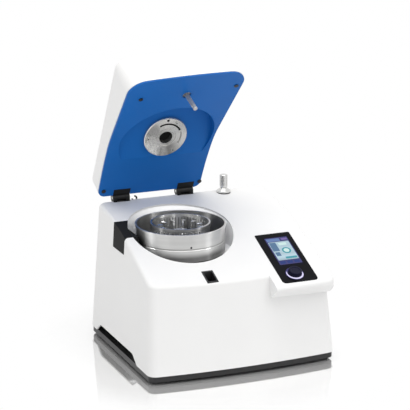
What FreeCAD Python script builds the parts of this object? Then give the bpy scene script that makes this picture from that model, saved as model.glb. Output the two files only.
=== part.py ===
import FreeCAD, Part
import math
import os

# A bench rotor mill: a white housing with a round grinding chamber, a thick lid that stands open,
# and the drive, the electronics and the rear connections inside and behind.
# Millimetres. +Z is up, the front looks along -Y, and the origin is on the table, in the middle of
# the footprint with the lid open. Lid pieces are made in the closed place and then turned open.

V = FreeCAD.Vector
OVERRUN = 10
FIT_GAP = 0.3
RUN_GAP = 0.05

# Housing
housing_width = 410
front_y = -202
rear_y = 174
shell_z = 18
crest_z = 291.5
crest_y = 224
crown_radius = 938
brow_start_y = 28
brow_radius = 300
brow_slope = 21.8
brow_length = 240
front_bow = 12
front_draft = 0.15
side_draft = 0.057
rear_draft = 0.044
wall = 3.5
front_corner = 18
rear_corner = 22
edge_rounding = 8
loft_top_z = 300

# Display column, whose chin stands forward of the front face
nose_x = 61.5
overhang = 10
chin_bow = 5
chin_z = 174
chin_rise = 28
chin_depth = 36

# Chamber and grinding set, all on one vertical axis
chamber_x = -63.5
chamber_y = -1
recess_radius = 110
chamber_floor_z = 212
tub_wall = 3
pan_radius = 93
pan_rim_z = 274.5
pan_floor_z = 216
sieve_radius = 61.5
sieve_top_z = 277
rotor_radius = 49
rotor_disc_z = 232
rotor_top_z = 268
shaft_radius = 10
plate_thickness = 8

# Lid, given in its closed place
hinge_y = 161.4
hinge_z = 295.3
lid_open_angle = 68.5
lid_front_y = -211
lid_gap = 3
lid_right_x = 58
lid_right_draft = 0.13
lid_front_draft = 0.108
lid_rear_y = 154
lid_rear_top_z = 352
lid_slope = 0.154
lid_wall = 3.5
lid_corners = (44, 16)
lid_rear_corner = 16
lid_rounding = 12
liner_thickness = 4
liner_edge_gap = 1
dish_radius = 103.3
dish_floor_z = 278.5
disc_face_z = 271
feed_radius = 14.5

# Hinges
hinge_xs = (-136, 9)
hinge_width = 38
knuckle_radius = 8.5
hinge_pin_radius = 3
ear_width = 8
notch_z = 276
notch_depth_y = 13

# Latch
latch_x = -61
latch_y = -147
latch_pin_radius = 4.5
latch_reach = 51
latch_head = 4.5
latch_neck = 6
latch_neck_radius = 3
socket_low_y = -169
socket_high_y = -141
socket_width = 18
socket_wall = 3
catch_travel = 9

# Passage cover at the left edge
passage_low_y = -14
passage_high_y = 52
passage_z = 223
passage_inner_x = -160

# Base
foot_height = 6
tray_inset = 2
tray_floor = 3
tray_rim = 14


def box(x, y, z):
    """A box between two values along each axis."""
    low = V(min(x), min(y), min(z))
    size = V(max(x), max(y), max(z)) - low
    return Part.makeBox(size.x, size.y, size.z, low)


def rod(radius, z, x=0.0, y=0.0):
    """A vertical cylinder between two heights."""
    return Part.makeCylinder(radius, max(z) - min(z), V(x, y, min(z)))


def tube(outer, inner, z, x=0.0, y=0.0):
    """A vertical tube between two heights."""
    over = (min(z) - OVERRUN, max(z) + OVERRUN)
    return rod(outer, z, x, y).cut(rod(inner, over, x, y))


def bar_x(radius, x, y, z):
    """A cylinder along X."""
    return Part.makeCylinder(radius, max(x) - min(x), V(min(x), y, z), V(1, 0, 0))


def bar_y(radius, y, x=0.0, z=0.0):
    """A cylinder along Y."""
    return Part.makeCylinder(radius, max(y) - min(y), V(x, min(y), z), V(0, 1, 0))


def turned(profile, x=0.0, y=0.0):
    """A solid of revolution about a vertical axis, from (radius, height) points."""
    points = [V(r, 0, z) for r, z in profile]
    face = Part.Face(Part.makePolygon(points + points[:1]))
    solid = face.revolve(V(0, 0, 0), V(0, 0, 1), 360)
    solid.translate(V(x, y, 0))
    return solid


def slab_x(profile, x):
    """A prism along X, from (y, z) points."""
    points = [V(min(x), y, z) for y, z in profile]
    face = Part.Face(Part.makePolygon(points + points[:1]))
    return face.extrude(V(max(x) - min(x), 0, 0))


def slab_z(profile, z):
    """A prism along Z, from (x, y) points."""
    points = [V(x, y, min(z)) for x, y in profile]
    face = Part.Face(Part.makePolygon(points + points[:1]))
    return face.extrude(V(0, 0, max(z) - min(z)))


def joined(first, *rest):
    """One clean solid from several that touch or overlap."""
    return first.fuse(list(rest)).removeSplitter()


def ring_of(shape, count, x=0.0, y=0.0, start=0.0):
    """Copies of a shape, evenly turned about a vertical axis."""
    copies = []
    for i in range(count):
        copy = shape.copy()
        copy.rotate(V(x, y, 0), V(0, 0, 1), start + 360 * i / count)
        copies.append(copy)
    return copies


def lid_open(shape):
    """A lid piece, turned from its closed place to the open one."""
    copy = shape.copy()
    copy.rotate(V(0, hinge_y, hinge_z), V(1, 0, 0), -lid_open_angle)
    return copy


def placed(shape, origin, tilt):
    """A shape from a local frame, tilted about X and moved to its origin."""
    copy = shape.copy()
    copy.rotate(V(0, 0, 0), V(1, 0, 0), tilt)
    copy.translate(origin)
    return copy


def save(name, *solids):
    """Writes one STEP file for a node."""
    shape = solids[0] if len(solids) == 1 else Part.makeCompound(list(solids))
    shape.exportStep(f"parts/{name}.step")
    count = len(shape.Solids)
    bad = "" if shape.isValid() else " INVALID"
    print(f"{name}: {count} solid(s), {sum(s.Volume for s in shape.Solids):.0f} mm3{bad}")


# The crown, the brow and the front of the housing

bow_radius = ((housing_width / 2) ** 2 + front_bow**2) / (2 * front_bow)
chin_bow_radius = ((housing_width / 2) ** 2 + chin_bow**2) / (2 * chin_bow)
brow_start_angle = math.asin((crest_y - brow_start_y) / crown_radius)
brow_angle = math.radians(brow_slope)


def crown_z(y, offset=0.0):
    """Height of the top surface, or of one a set distance outside it."""
    radius = crown_radius + offset
    return crest_z - crown_radius + math.sqrt(radius**2 - (y - crest_y) ** 2)


def crown_point(angle, offset=0.0):
    """A point of the rear arc, by its slope."""
    radius = crown_radius + offset
    return (crest_y - radius * math.sin(angle),
            crest_z - crown_radius + radius * math.cos(angle))


def brow_point(angle, offset=0.0):
    """A point of the front arc, which starts where the rear arc ends."""
    y, z = crown_point(brow_start_angle)
    centre_y = y + brow_radius * math.sin(brow_start_angle)
    centre_z = z - brow_radius * math.cos(brow_start_angle)
    radius = brow_radius + offset
    return (centre_y - radius * math.sin(angle), centre_z + radius * math.cos(angle))


def surface_z(y, offset=0.0):
    """Height of the whole top line at a place from front to rear."""
    if y >= crown_point(brow_start_angle, offset)[0]:
        return crown_z(y, offset)
    low_y, low_z = brow_point(brow_angle, offset)
    if y < low_y:
        return low_z - (low_y - y) * math.tan(brow_angle)
    start_y, start_z = brow_point(0.0, offset)
    radius = brow_radius + offset
    return start_z - radius + math.sqrt(radius**2 - (y - start_y) ** 2)


def under_crown(offset, x, z_low=-OVERRUN):
    """Everything under the top line, or under one a set distance outside it."""
    rear = crest_y
    start = crown_point(brow_start_angle, offset)
    low = brow_point(brow_angle, offset)
    tip = (low[0] - brow_length * math.cos(brow_angle),
           low[1] - brow_length * math.sin(brow_angle))
    mid_rear = crown_point(brow_start_angle / 2, offset)
    mid_brow = brow_point((brow_start_angle + brow_angle) / 2, offset)
    top = crest_z + offset

    def at(point):
        return V(min(x), point[0], point[1])

    edges = [
        Part.makeLine(at((tip[0], z_low)), at((rear, z_low))),
        Part.makeLine(at((rear, z_low)), at((rear, top))),
        Part.Arc(at((rear, top)), at(mid_rear), at(start)).toShape(),
        Part.Arc(at(start), at(mid_brow), at(low)).toShape(),
        Part.makeLine(at(low), at(tip)),
        Part.makeLine(at(tip), at((tip[0], z_low))),
    ]
    return Part.Face(Part.Wire(edges)).extrude(V(max(x) - min(x), 0, 0))


def outline(z, sides, front, rear, radii, bow=bow_radius):
    """A closed plan outline with a bowed front and four rounded corners."""
    left, right = sides
    front_radius, rear_radius = radii
    bow_y = front + bow

    def front_corner_arc(side_x, toward):
        centre_x = side_x + toward * front_radius
        reach = bow - front_radius
        centre_y = bow_y - math.sqrt(reach**2 - centre_x**2)
        out = V(centre_x, centre_y - bow_y, 0)
        out.normalize()
        side = V(-toward, 0, 0)
        middle = out + side
        middle.normalize()
        centre = V(centre_x, centre_y, z)
        return [centre + direction * front_radius for direction in (side, middle, out)]

    def rear_corner_arc(side_x, toward):
        centre = V(side_x + toward * rear_radius, rear - rear_radius, z)
        back = V(0, 1, 0)
        side = V(-toward, 0, 0)
        middle = back + side
        middle.normalize()
        return [centre + direction * rear_radius for direction in (back, middle, side)]

    front_left = front_corner_arc(left, 1)
    front_right = front_corner_arc(right, -1)
    rear_left = rear_corner_arc(left, 1)
    rear_right = rear_corner_arc(right, -1)
    middle_x = (front_left[2].x + front_right[2].x) / 2
    middle_y = bow_y - math.sqrt(bow**2 - middle_x**2)
    edges = [
        Part.Arc(front_left[2], V(middle_x, middle_y, z), front_right[2]).toShape(),
        Part.Arc(front_right[2], front_right[1], front_right[0]).toShape(),
        Part.makeLine(front_right[0], rear_right[2]),
        Part.Arc(rear_right[2], rear_right[1], rear_right[0]).toShape(),
        Part.makeLine(rear_right[0], rear_left[0]),
        Part.Arc(rear_left[0], rear_left[1], rear_left[2]).toShape(),
        Part.makeLine(rear_left[2], front_left[0]),
        Part.Arc(front_left[0], front_left[1], front_left[2]).toShape(),
    ]
    return Part.Wire(edges)


def left_wall_x(z, inset=0.0):
    """Where the left wall stands at a height."""
    return -housing_width / 2 + side_draft * (z - shell_z) + inset


def rear_wall_y(z, inset=0.0):
    """Where the rear wall stands at a height."""
    return rear_y - rear_draft * (z - shell_z) - inset


def front_wall_y(z, inset=0.0):
    """Where the middle of the front wall stands at a height."""
    return front_y + front_draft * (z - shell_z) + inset


def housing_block(inset, fronts, bow):
    """The drafted walls as a block that is open to the top line."""
    wires = []
    for height, front in zip((shell_z, loft_top_z), fronts):
        side = -left_wall_x(height, inset)
        wires.append(outline(height, (-side, side), front, rear_wall_y(height, inset),
                             (front_corner - inset, rear_corner - inset), bow))
    return Part.makeLoft(wires, True, True)


def housing_volume(inset):
    """The filled housing, or its cavity when an inset is given."""
    fronts = [front_wall_y(height, inset) for height in (shell_z, loft_top_z)]
    tip_y = front_y - overhang + inset
    low_z = chin_z - chin_rise + inset
    above = slab_x([
        (tip_y - OVERRUN, chin_z + inset),
        (tip_y, chin_z + inset),
        (tip_y + chin_depth, low_z),
        (rear_y, low_z),
        (rear_y, loft_top_z + OVERRUN),
        (tip_y - OVERRUN, loft_top_z + OVERRUN),
    ], (nose_x + inset, housing_width))
    chin = housing_block(inset, (tip_y, tip_y), chin_bow_radius).common(above)
    body = housing_block(inset, fronts, bow_radius).fuse(chin)
    return body.common(under_crown(-inset, (-housing_width, housing_width))).removeSplitter()


def wall_edges(shape):
    """The edges where the top meets the side walls and the rear wall."""
    chosen = []
    for edge in shape.Edges:
        middle = edge.valueAt((edge.FirstParameter + edge.LastParameter) / 2)
        side_gap = abs(abs(middle.x) + left_wall_x(middle.z))
        rear_gap = abs(middle.y - rear_wall_y(middle.z))
        top_gap = abs(middle.z - surface_z(middle.y))
        if top_gap < FIT_GAP and min(side_gap, rear_gap) < FIT_GAP:
            chosen.append(edge)
    return chosen


# The frame of the display, which lies in the sloping part of the top

bezel_size = (78, 160, 3)
bezel_x = 120
bezel_mid_y = -127
bezel_sunk = 2
bezel_corner = 8
bezel_far_corner = 2.5
panel_origin = V(bezel_x, bezel_mid_y, surface_z(bezel_mid_y))
window_margin = 4
screen_size = (54, 98, 1.2)
screen_centre = (2.5, 20)
knob_centre = (-4, -54)
ring_radii = (19, 14.5)
knob_radius = 13.6
knob_height = 9
knob_skirt_gap = 2.4
plunger_radius = 3


def on_panel(shape):
    """A piece of the display, from its own frame to its place."""
    return placed(shape, panel_origin, brow_slope)


def panel_slab(size, centre, top, corner):
    """A plate with rounded corners that lies under a height of the panel frame."""
    plate = box((centre[0] - size[0] / 2, centre[0] + size[0] / 2),
                (centre[1] - size[1] / 2, centre[1] + size[1] / 2), (top - size[2], top))
    upright = [e for e in plate.Edges if e.BoundBox.ZLength > size[2] / 2]
    return plate.makeFillet(corner, upright)


def bezel_plate(grow, z):
    """The outline of the display as a plate, grown by a gap."""
    half = [side / 2 + grow for side in bezel_size[:2]]
    plate = box((-half[0], half[0]), (-half[1], half[1]), z)
    upright = [e for e in plate.Edges if e.BoundBox.XLength + e.BoundBox.YLength < FIT_GAP]
    low = [e for e in upright if e.BoundBox.YMax < 0]
    plate = plate.makeFillet(bezel_corner + grow, low)
    upright = [e for e in plate.Edges if e.BoundBox.XLength + e.BoundBox.YLength < FIT_GAP]
    high = [e for e in upright if e.BoundBox.YMin > 0]
    return on_panel(plate.makeFillet(bezel_far_corner + grow, high))


# The frame of the rear panel

rear_tilt = math.degrees(math.atan(rear_draft))
rear_panel_z = 132
rear_panel_size = (312, 2, 186)
rear_window_margin = 8
rear_origin = V(0, rear_wall_y(rear_panel_z), rear_panel_z)
fan_inset = (76, 73)
fan_place = (rear_panel_size[0] / 2 - fan_inset[0], rear_panel_size[2] / 2 - fan_inset[1])
fan_size = 80
fan_depth = 25
fan_bore = 37
inlet_inset = (44, 39)
inlet_place = (inlet_inset[0] - rear_panel_size[0] / 2, inlet_inset[1] - rear_panel_size[2] / 2)
inlet_size = (48, 28)
inlet_depth = 24
switch_inset = (94, 39)
switch_place = (switch_inset[0] - rear_panel_size[0] / 2,
                switch_inset[1] - rear_panel_size[2] / 2)
switch_size = (20, 30)
switch_depth = 14


def on_rear(shape):
    """A piece of the rear panel, from its own frame to its place."""
    return placed(shape, rear_origin, rear_tilt)


def local_box(centre, size, y):
    """A box on the rear panel, centred in its plane."""
    return box((centre[0] - size[0] / 2, centre[0] + size[0] / 2), y,
               (centre[1] - size[1] / 2, centre[1] + size[1] / 2))


# Housing and base

grip_low_y = (-114, 128)
grip_high_y = (-86, 107)
grip_z = 35
socket_hole_gap = 0.4
tool_x = 93
tool_y = 140
holder_radius = 9.5


def socket_plan(grow):
    """The plan limits of the latch socket's outside, grown by a gap."""
    half = socket_width / 2 + socket_wall + grow
    return ((latch_x - half, latch_x + half),
            (socket_low_y - socket_wall - grow, socket_high_y + socket_wall + grow))


def passage_volume(gap, z_top):
    """The slot at the left edge, or the cover in it when a gap is given."""
    return box((-housing_width, passage_inner_x - gap),
               (passage_low_y + gap, passage_high_y - gap), (passage_z + gap, z_top))


def hinge_notch(x, gap):
    """The notch in the top and rear edge that holds one hinge."""
    half = hinge_width / 2 + gap
    return box((x - half, x + half), (hinge_y - notch_depth_y - gap, rear_y + OVERRUN),
               (notch_z - gap, crest_z + OVERRUN))


def make_housing():
    shell = housing_volume(0.0)
    shell = shell.makeFillet(edge_rounding, wall_edges(shell))
    cavity = housing_volume(wall)
    cuts = [cavity]
    cuts.append(rod(recess_radius, (passage_z - OVERRUN, crest_z + OVERRUN), chamber_x, chamber_y))
    cuts.append(passage_volume(0.0, crest_z + OVERRUN))
    plan = socket_plan(socket_hole_gap)
    cuts.append(box(plan[0], plan[1], (socket_bottom + OVERRUN, crest_z)))
    for radius, low in ((holder_radius, crest_z - wall * 3),
                        (holder_lip[0], holder_top() - holder_lip[1])):
        cuts.append(rod(radius + FIT_GAP, (low, crest_z + OVERRUN), tool_x, tool_y))
    cuts += [hinge_notch(x, 0.0) for x in hinge_xs]
    cuts.append(bezel_plate(FIT_GAP, (-bezel_sunk, OVERRUN)))
    window = (bezel_size[0] - window_margin * 2, bezel_size[1] - window_margin * 2, OVERRUN * 2)
    cuts.append(on_panel(panel_slab(window, (0, 0), OVERRUN, bezel_corner)))
    rear_window = (rear_panel_size[0] - rear_window_margin * 2,
                   rear_panel_size[2] - rear_window_margin * 2)
    cuts.append(on_rear(local_box((0, 0), rear_window, (-wall * 2, OVERRUN))))
    grip = slab_x([(grip_low_y[0], shell_z - OVERRUN), (grip_low_y[1], shell_z - OVERRUN),
                   (grip_low_y[1], shell_z), (grip_high_y[1], grip_z),
                   (grip_high_y[0], grip_z), (grip_low_y[0], shell_z)],
                  (-housing_width, housing_width))
    cuts.append(grip)
    for cut in cuts:
        shell = shell.cut(cut)
    return shell


def make_base_tray():
    top = shell_z

    def tray_block(inset, z):
        side = housing_width / 2 - inset
        wires = [outline(height, (-side, side), front_y + inset, rear_y - inset,
                         (front_corner - inset, rear_corner - inset)) for height in z]
        return Part.makeLoft(wires, True, True)

    tray = tray_block(tray_inset, (foot_height, top))
    tray = tray.cut(tray_block(tray_rim, (foot_height + tray_floor, top + OVERRUN)))
    slot_size = (60, 5)
    slot_rows = 8
    slot_pitch = 14
    first_slot_y = -50
    slots = []
    for i in range(slot_rows):
        y = first_slot_y + i * slot_pitch
        for x in (chamber_x - slot_size[0] - slot_pitch, chamber_x + slot_pitch):
            slots.append(box((x, x + slot_size[0]), (y, y + slot_size[1]),
                             (foot_height - OVERRUN, foot_height + tray_floor + OVERRUN)))
    return tray.cut(slots)


foot_size = (60, 34)
foot_inset = (8, 12)


def make_feet():
    feet = []
    corner = 10
    for side in (-1, 1):
        for y_near in (front_y + front_bow + foot_inset[1],
                       rear_y - foot_inset[1] - foot_size[1]):
            x_far = side * (housing_width / 2 - foot_inset[0])
            foot = box((x_far, x_far - side * foot_size[0]), (y_near, y_near + foot_size[1]),
                       (0, foot_height))
            upright = [e for e in foot.Edges if e.BoundBox.ZLength > foot_height / 2]
            feet.append(foot.makeFillet(corner, upright))
    return feet


# Chamber

tub_hole = 24
tub_slot_gap = 0.6


def make_tub():
    outer = recess_radius + tub_wall
    profile = [(tub_hole, chamber_floor_z - tub_wall), (outer, chamber_floor_z - tub_wall),
               (outer, crest_z), (recess_radius, crest_z), (recess_radius, chamber_floor_z),
               (tub_hole, chamber_floor_z)]
    tub = turned(profile, chamber_x, chamber_y)
    tub = tub.common(housing_volume(wall + FIT_GAP))
    slot = box((-housing_width, chamber_x), (passage_low_y - tub_slot_gap,
                                             passage_high_y + tub_slot_gap),
               (passage_z, crest_z))
    screw_hole = tub_screw_radius + FIT_GAP
    hole = rod(screw_hole, (chamber_floor_z - OVERRUN, chamber_floor_z + OVERRUN),
               chamber_x + tub_screw_circle, chamber_y)
    holes = ring_of(hole, tub_screw_count, chamber_x, chamber_y, tub_screw_turn)
    return tub.cut([slot] + holes)


tub_screw_radius = 2.5
tub_screw_circle = 62
tub_screw_count = 6
tub_screw_turn = 15


def make_tub_screws():
    head = (4.2, 2.6)
    reach = 5
    bottom = chamber_floor_z - tub_wall - reach
    screw = joined(rod(tub_screw_radius, (bottom, chamber_floor_z),
                       chamber_x + tub_screw_circle, chamber_y),
                   rod(head[0], (chamber_floor_z, chamber_floor_z + head[1]),
                       chamber_x + tub_screw_circle, chamber_y))
    return ring_of(screw, tub_screw_count, chamber_x, chamber_y, tub_screw_turn)


seal_radii = (84, 90)


def make_chamber_seal():
    return tube(seal_radii[1], seal_radii[0], (chamber_floor_z, pan_floor_z),
                chamber_x, chamber_y)


# Drive

plate_z = (chamber_floor_z - tub_wall - plate_thickness, chamber_floor_z - tub_wall)
plate_size = (216, 176)
motor_radius = 70
motor_bottom_z = 50
bell_thickness = 16
bearing_radii = (23.5, 10)
bearing_width = 14
stator_radii = (60, 36)
core_radius = 35
post_radius = 7
post_inset = 12
fan_clear_z = 20


def bearing_zs():
    """The low ends of the two bearings."""
    return (motor_bottom_z + (bell_thickness - bearing_width) / 2,
            plate_z[0] - bell_thickness + (bell_thickness - bearing_width) / 2)


def make_motor_plate():
    plate = box((chamber_x - plate_size[0] / 2, chamber_x + plate_size[0] / 2),
                (chamber_y - plate_size[1] / 2, chamber_y + plate_size[1] / 2), plate_z)
    seal_bore = seal_size[0] + RUN_GAP
    cuts = [rod(seal_bore, (plate_z[0] - OVERRUN, plate_z[1] + OVERRUN), chamber_x, chamber_y)]
    hole = rod(tub_screw_radius + FIT_GAP, (plate_z[1] - OVERRUN / 2, plate_z[1] + OVERRUN),
               chamber_x + tub_screw_circle, chamber_y)
    cuts += ring_of(hole, tub_screw_count, chamber_x, chamber_y, tub_screw_turn)
    return plate.cut(cuts)


def make_motor_posts():
    posts = []
    for sx in (-1, 1):
        for sy in (-1, 1):
            x = chamber_x + sx * (plate_size[0] / 2 - post_inset)
            y = chamber_y + sy * (plate_size[1] / 2 - post_inset)
            posts.append(rod(post_radius, (foot_height + tray_floor, plate_z[0]), x, y))
    return posts


def make_motor_casing():
    fin_count = 24
    fin_size = (6, 3)
    z = (motor_bottom_z + bell_thickness, plate_z[0])
    top_bell_z = plate_z[0] - bell_thickness
    bearing_bore = bearing_radii[0] + RUN_GAP
    profile = [(stator_radii[0], z[0]), (motor_radius, z[0]), (motor_radius, z[1]),
               (bearing_bore, z[1]), (bearing_bore, top_bell_z),
               (stator_radii[0], top_bell_z)]
    casing = turned(profile, chamber_x, chamber_y)
    fin = box((chamber_x + motor_radius - RUN_GAP, chamber_x + motor_radius + fin_size[0]),
              (chamber_y - fin_size[1] / 2, chamber_y + fin_size[1] / 2), z)
    return joined(casing, *ring_of(fin, fin_count, chamber_x, chamber_y))


def make_motor_stator():
    end_gap = 8
    z = (motor_bottom_z + bell_thickness + end_gap, plate_z[0] - bell_thickness - end_gap)
    slot_count = 12
    slot_size = (14, 6)
    stator = tube(stator_radii[0], stator_radii[1], z, chamber_x, chamber_y)
    slot = box((chamber_x + stator_radii[1] - OVERRUN, chamber_x + stator_radii[1] + slot_size[0]),
               (chamber_y - slot_size[1] / 2, chamber_y + slot_size[1] / 2),
               (z[0] - OVERRUN, z[1] + OVERRUN))
    return stator.cut(ring_of(slot, slot_count, chamber_x, chamber_y))


def make_end_bell():
    bore = bearing_radii[0] + RUN_GAP
    return tube(motor_radius, bore, (motor_bottom_z, motor_bottom_z + bell_thickness),
                chamber_x, chamber_y)


def bearing_groove(z):
    """The track that the balls of one bearing run in."""
    middle = (bearing_radii[0] + bearing_radii[1]) / 2
    return Part.makeTorus(middle, ball_radius + RUN_GAP,
                          V(chamber_x, chamber_y, z + bearing_width / 2), V(0, 0, 1))


ball_radius = 3.5
race_thickness = 4.2
ball_count = 9


def make_outer_rings():
    inner = bearing_radii[0] - race_thickness
    return [tube(bearing_radii[0], inner, (z, z + bearing_width), chamber_x, chamber_y)
            .cut(bearing_groove(z)) for z in bearing_zs()]


def make_inner_rings():
    outer = bearing_radii[1] + race_thickness
    bore = bearing_radii[1]
    return [tube(outer, bore, (z, z + bearing_width), chamber_x, chamber_y)
            .cut(bearing_groove(z)) for z in bearing_zs()]


def make_balls():
    middle = (bearing_radii[0] + bearing_radii[1]) / 2
    balls = []
    for z in bearing_zs():
        ball = Part.makeSphere(ball_radius, V(chamber_x + middle, chamber_y,
                                              z + bearing_width / 2))
        balls += ring_of(ball, ball_count, chamber_x, chamber_y)
    return balls


seal_size = (20, 12.5, 7)
hub_flange = (21, 4)
hub_nose = (15.7, 240)
hub_flange_lift = 2
hub_flange_z = chamber_floor_z + hub_flange_lift


def make_shaft_seal():
    lip_gap = 0.3
    z_top = plate_z[1]
    return tube(seal_size[0], shaft_radius + lip_gap, (z_top - seal_size[2], z_top),
                chamber_x, chamber_y)


def make_motor_shaft():
    bore_gap = RUN_GAP / 2
    return rod(shaft_radius - bore_gap, (fan_clear_z, hub_flange_z), chamber_x, chamber_y)


def make_magnet_core():
    end_gap = 10
    z = (motor_bottom_z + bell_thickness + end_gap, plate_z[0] - bell_thickness - end_gap)
    return tube(core_radius, shaft_radius, z, chamber_x, chamber_y)


def make_drive_hub():
    taper = 1.5
    top = hub_nose[1]
    flange_top = hub_flange_z + hub_flange[1]
    profile = [(0, hub_flange_z), (hub_flange[0], hub_flange_z), (hub_flange[0], flange_top),
               (hub_nose[0], flange_top), (hub_nose[0], top - taper),
               (hub_nose[0] - taper, top), (0, top)]
    return turned(profile, chamber_x, chamber_y)


def make_cooling_impeller():
    blades = 9
    hub = 18
    radius = 46
    depth = 16
    disc = 2
    blade_thickness = 2
    z_low = fan_clear_z + disc
    z_high = z_low + depth
    body = [tube(hub, shaft_radius, (z_low, z_high), chamber_x, chamber_y),
            tube(radius, shaft_radius, (z_high - disc, z_high), chamber_x, chamber_y)]
    blade = box((chamber_x + hub - disc, chamber_x + radius),
                (chamber_y - blade_thickness / 2, chamber_y + blade_thickness / 2),
                (z_low, z_high))
    return joined(*body, *ring_of(blade, blades, chamber_x, chamber_y))


# Grinding set

rotor_bore = hub_nose[0] + FIT_GAP
rotor_disc = 5
tooth_count = 12


def make_rotor():
    skirt_radius = 22
    hub_radius = 19
    hub_top = 258
    bolt_radius = 5
    tooth_depth = 13
    tooth_width = 11
    edge_width = 3
    bottom = hub_flange_z + hub_flange[1] + FIT_GAP
    blind = hub_nose[1] + FIT_GAP
    dome = 3
    disc_top = rotor_disc_z + rotor_disc
    profile = [(rotor_bore, bottom), (skirt_radius, bottom), (skirt_radius, rotor_disc_z),
               (rotor_radius, rotor_disc_z), (rotor_radius, disc_top), (hub_radius, disc_top),
               (hub_radius, hub_top - dome), (hub_radius - dome, hub_top), (bolt_radius, hub_top),
               (bolt_radius, blind), (rotor_bore, blind)]
    body = turned(profile, chamber_x, chamber_y)
    inner = rotor_radius - tooth_depth
    flat = rotor_radius - FIT_GAP * 4
    tooth = slab_z([(chamber_x + inner, chamber_y - edge_width / 2),
                    (chamber_x + flat, chamber_y - tooth_width / 2),
                    (chamber_x + flat, chamber_y + tooth_width / 2),
                    (chamber_x + inner, chamber_y + edge_width / 2)],
                   (rotor_disc_z, rotor_top_z))
    return joined(body, *ring_of(tooth, tooth_count, chamber_x, chamber_y))


collar_radii = (26, 28)
collar_z = 226
pan_sheet = 2
sieve_wall = 1.2
sieve_seat = 2.5


def make_pan():
    bead = (1.5, 4)
    groove = (1.2, 3)
    groove_z = 240
    pan_floor_top = pan_floor_z + pan_sheet
    inner = pan_radius - pan_sheet
    seat_low = sieve_radius - sieve_seat * 2
    seat_top = pan_floor_top + sieve_seat
    seat_high = sieve_radius + sieve_seat
    profile = [(collar_radii[0], pan_floor_z), (pan_radius, pan_floor_z),
               (pan_radius, groove_z), (pan_radius - groove[0], groove_z + groove[0]),
               (pan_radius - groove[0], groove_z + groove[1]),
               (pan_radius, groove_z + groove[1] + groove[0]),
               (pan_radius, pan_rim_z - bead[1]), (pan_radius + bead[0], pan_rim_z - bead[1]),
               (pan_radius + bead[0], pan_rim_z), (inner, pan_rim_z), (inner, pan_floor_top),
               (seat_high, pan_floor_top), (seat_high, seat_top), (seat_low, seat_top),
               (seat_low, pan_floor_top), (collar_radii[1], pan_floor_top),
               (collar_radii[1], collar_z), (collar_radii[0], collar_z)]
    return turned(profile, chamber_x, chamber_y)


def make_sieve():
    rim_height = 5
    foot_height_here = 6
    foot_step = 1.5
    slot_count = 60
    slot_width = 2.4
    slot_margin = 3
    bottom = pan_floor_z + pan_sheet + sieve_seat
    inner = sieve_radius - sieve_wall
    thick_inner = inner - foot_step
    profile = [(thick_inner, bottom), (sieve_radius + foot_step, bottom),
               (sieve_radius + foot_step, bottom + foot_height_here),
               (sieve_radius, bottom + foot_height_here),
               (sieve_radius, sieve_top_z - rim_height),
               (sieve_radius + foot_step / 2, sieve_top_z - rim_height),
               (sieve_radius + foot_step / 2, sieve_top_z), (thick_inner, sieve_top_z),
               (thick_inner, sieve_top_z - rim_height), (inner, sieve_top_z - rim_height),
               (inner, bottom + foot_height_here), (thick_inner, bottom + foot_height_here)]
    ring = turned(profile, chamber_x, chamber_y)
    slot = box((chamber_x + inner - slot_margin, chamber_x + sieve_radius + slot_margin),
               (chamber_y - slot_width / 2, chamber_y + slot_width / 2),
               (bottom + foot_height_here + slot_margin, sieve_top_z - rim_height - slot_margin))
    return ring.cut(ring_of(slot, slot_count, chamber_x, chamber_y))


def make_passage_cover():
    cover = passage_volume(FIT_GAP, crest_z + OVERRUN).common(housing_volume(0.0))
    lid_clear = rod(recess_radius - tub_wall, (dish_floor_z - OVERRUN, crest_z + OVERRUN),
                    chamber_x, chamber_y)
    step_top = 258
    inside = box((chamber_x - recess_radius, chamber_x), (-housing_width, housing_width),
                 (step_top, crest_z + OVERRUN))
    inside = inside.common(rod(recess_radius, (step_top, crest_z + OVERRUN),
                               chamber_x, chamber_y))
    return cover.cut([lid_clear, inside])


# Tool on the housing

tool_flange = (15, 7)
tool_rod = (8.5, 31)
tool_stem = (6, 24)
holder_proud = 1.2
holder_depth = 32
holder_lip = (15, 2.6)


def holder_top():
    """The height of the holder's flat top, on which the tool stands."""
    return crown_z(tool_y) + holder_proud


def make_tool_holder():
    top = holder_top()
    low = top - holder_depth
    flange = rod(holder_lip[0], (top - holder_lip[1], top), tool_x, tool_y)
    holder = joined(rod(holder_radius, (low, top), tool_x, tool_y), flange)
    return holder.cut(rod(tool_stem[0] + FIT_GAP, (low + holder_lip[1], top + OVERRUN),
                          tool_x, tool_y))


def make_tool():
    base = holder_top()
    neck = (7, 2)
    shoulder = 9.5
    chamfer = 1
    groove_count = 10
    groove_radius = 0.9
    flange_top = base + tool_flange[1]
    rod_low = flange_top + neck[1] * 2
    top = flange_top + tool_rod[1]
    profile = [(0, base - tool_stem[1]), (tool_stem[0], base - tool_stem[1]),
               (tool_stem[0], base), (tool_flange[0], base),
               (tool_flange[0], base + tool_flange[1] / 2), (shoulder, flange_top),
               (neck[0], flange_top + neck[1]), (tool_rod[0], rod_low),
               (tool_rod[0], top - chamfer), (tool_rod[0] - chamfer, top), (0, top)]
    tool = turned(profile, tool_x, tool_y)
    groove = rod(groove_radius, (rod_low + neck[1] * 2, top + OVERRUN),
                 tool_x + tool_rod[0], tool_y)
    return tool.cut(ring_of(groove, groove_count, tool_x, tool_y))


# Hinges

bracket_gap = 0.6
bracket_leg = 26
bracket_proud = 2
leaf_depth = 17


def knuckle_pocket(x, grow):
    """Room for one hinge's knuckles in the lid."""
    half = hinge_width / 2 + grow
    return box((x - half, x + half), (lid_rear_y - leaf_depth - grow, rear_y),
               (crest_z - OVERRUN * 2, hinge_z + knuckle_radius + grow * 2))


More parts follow.
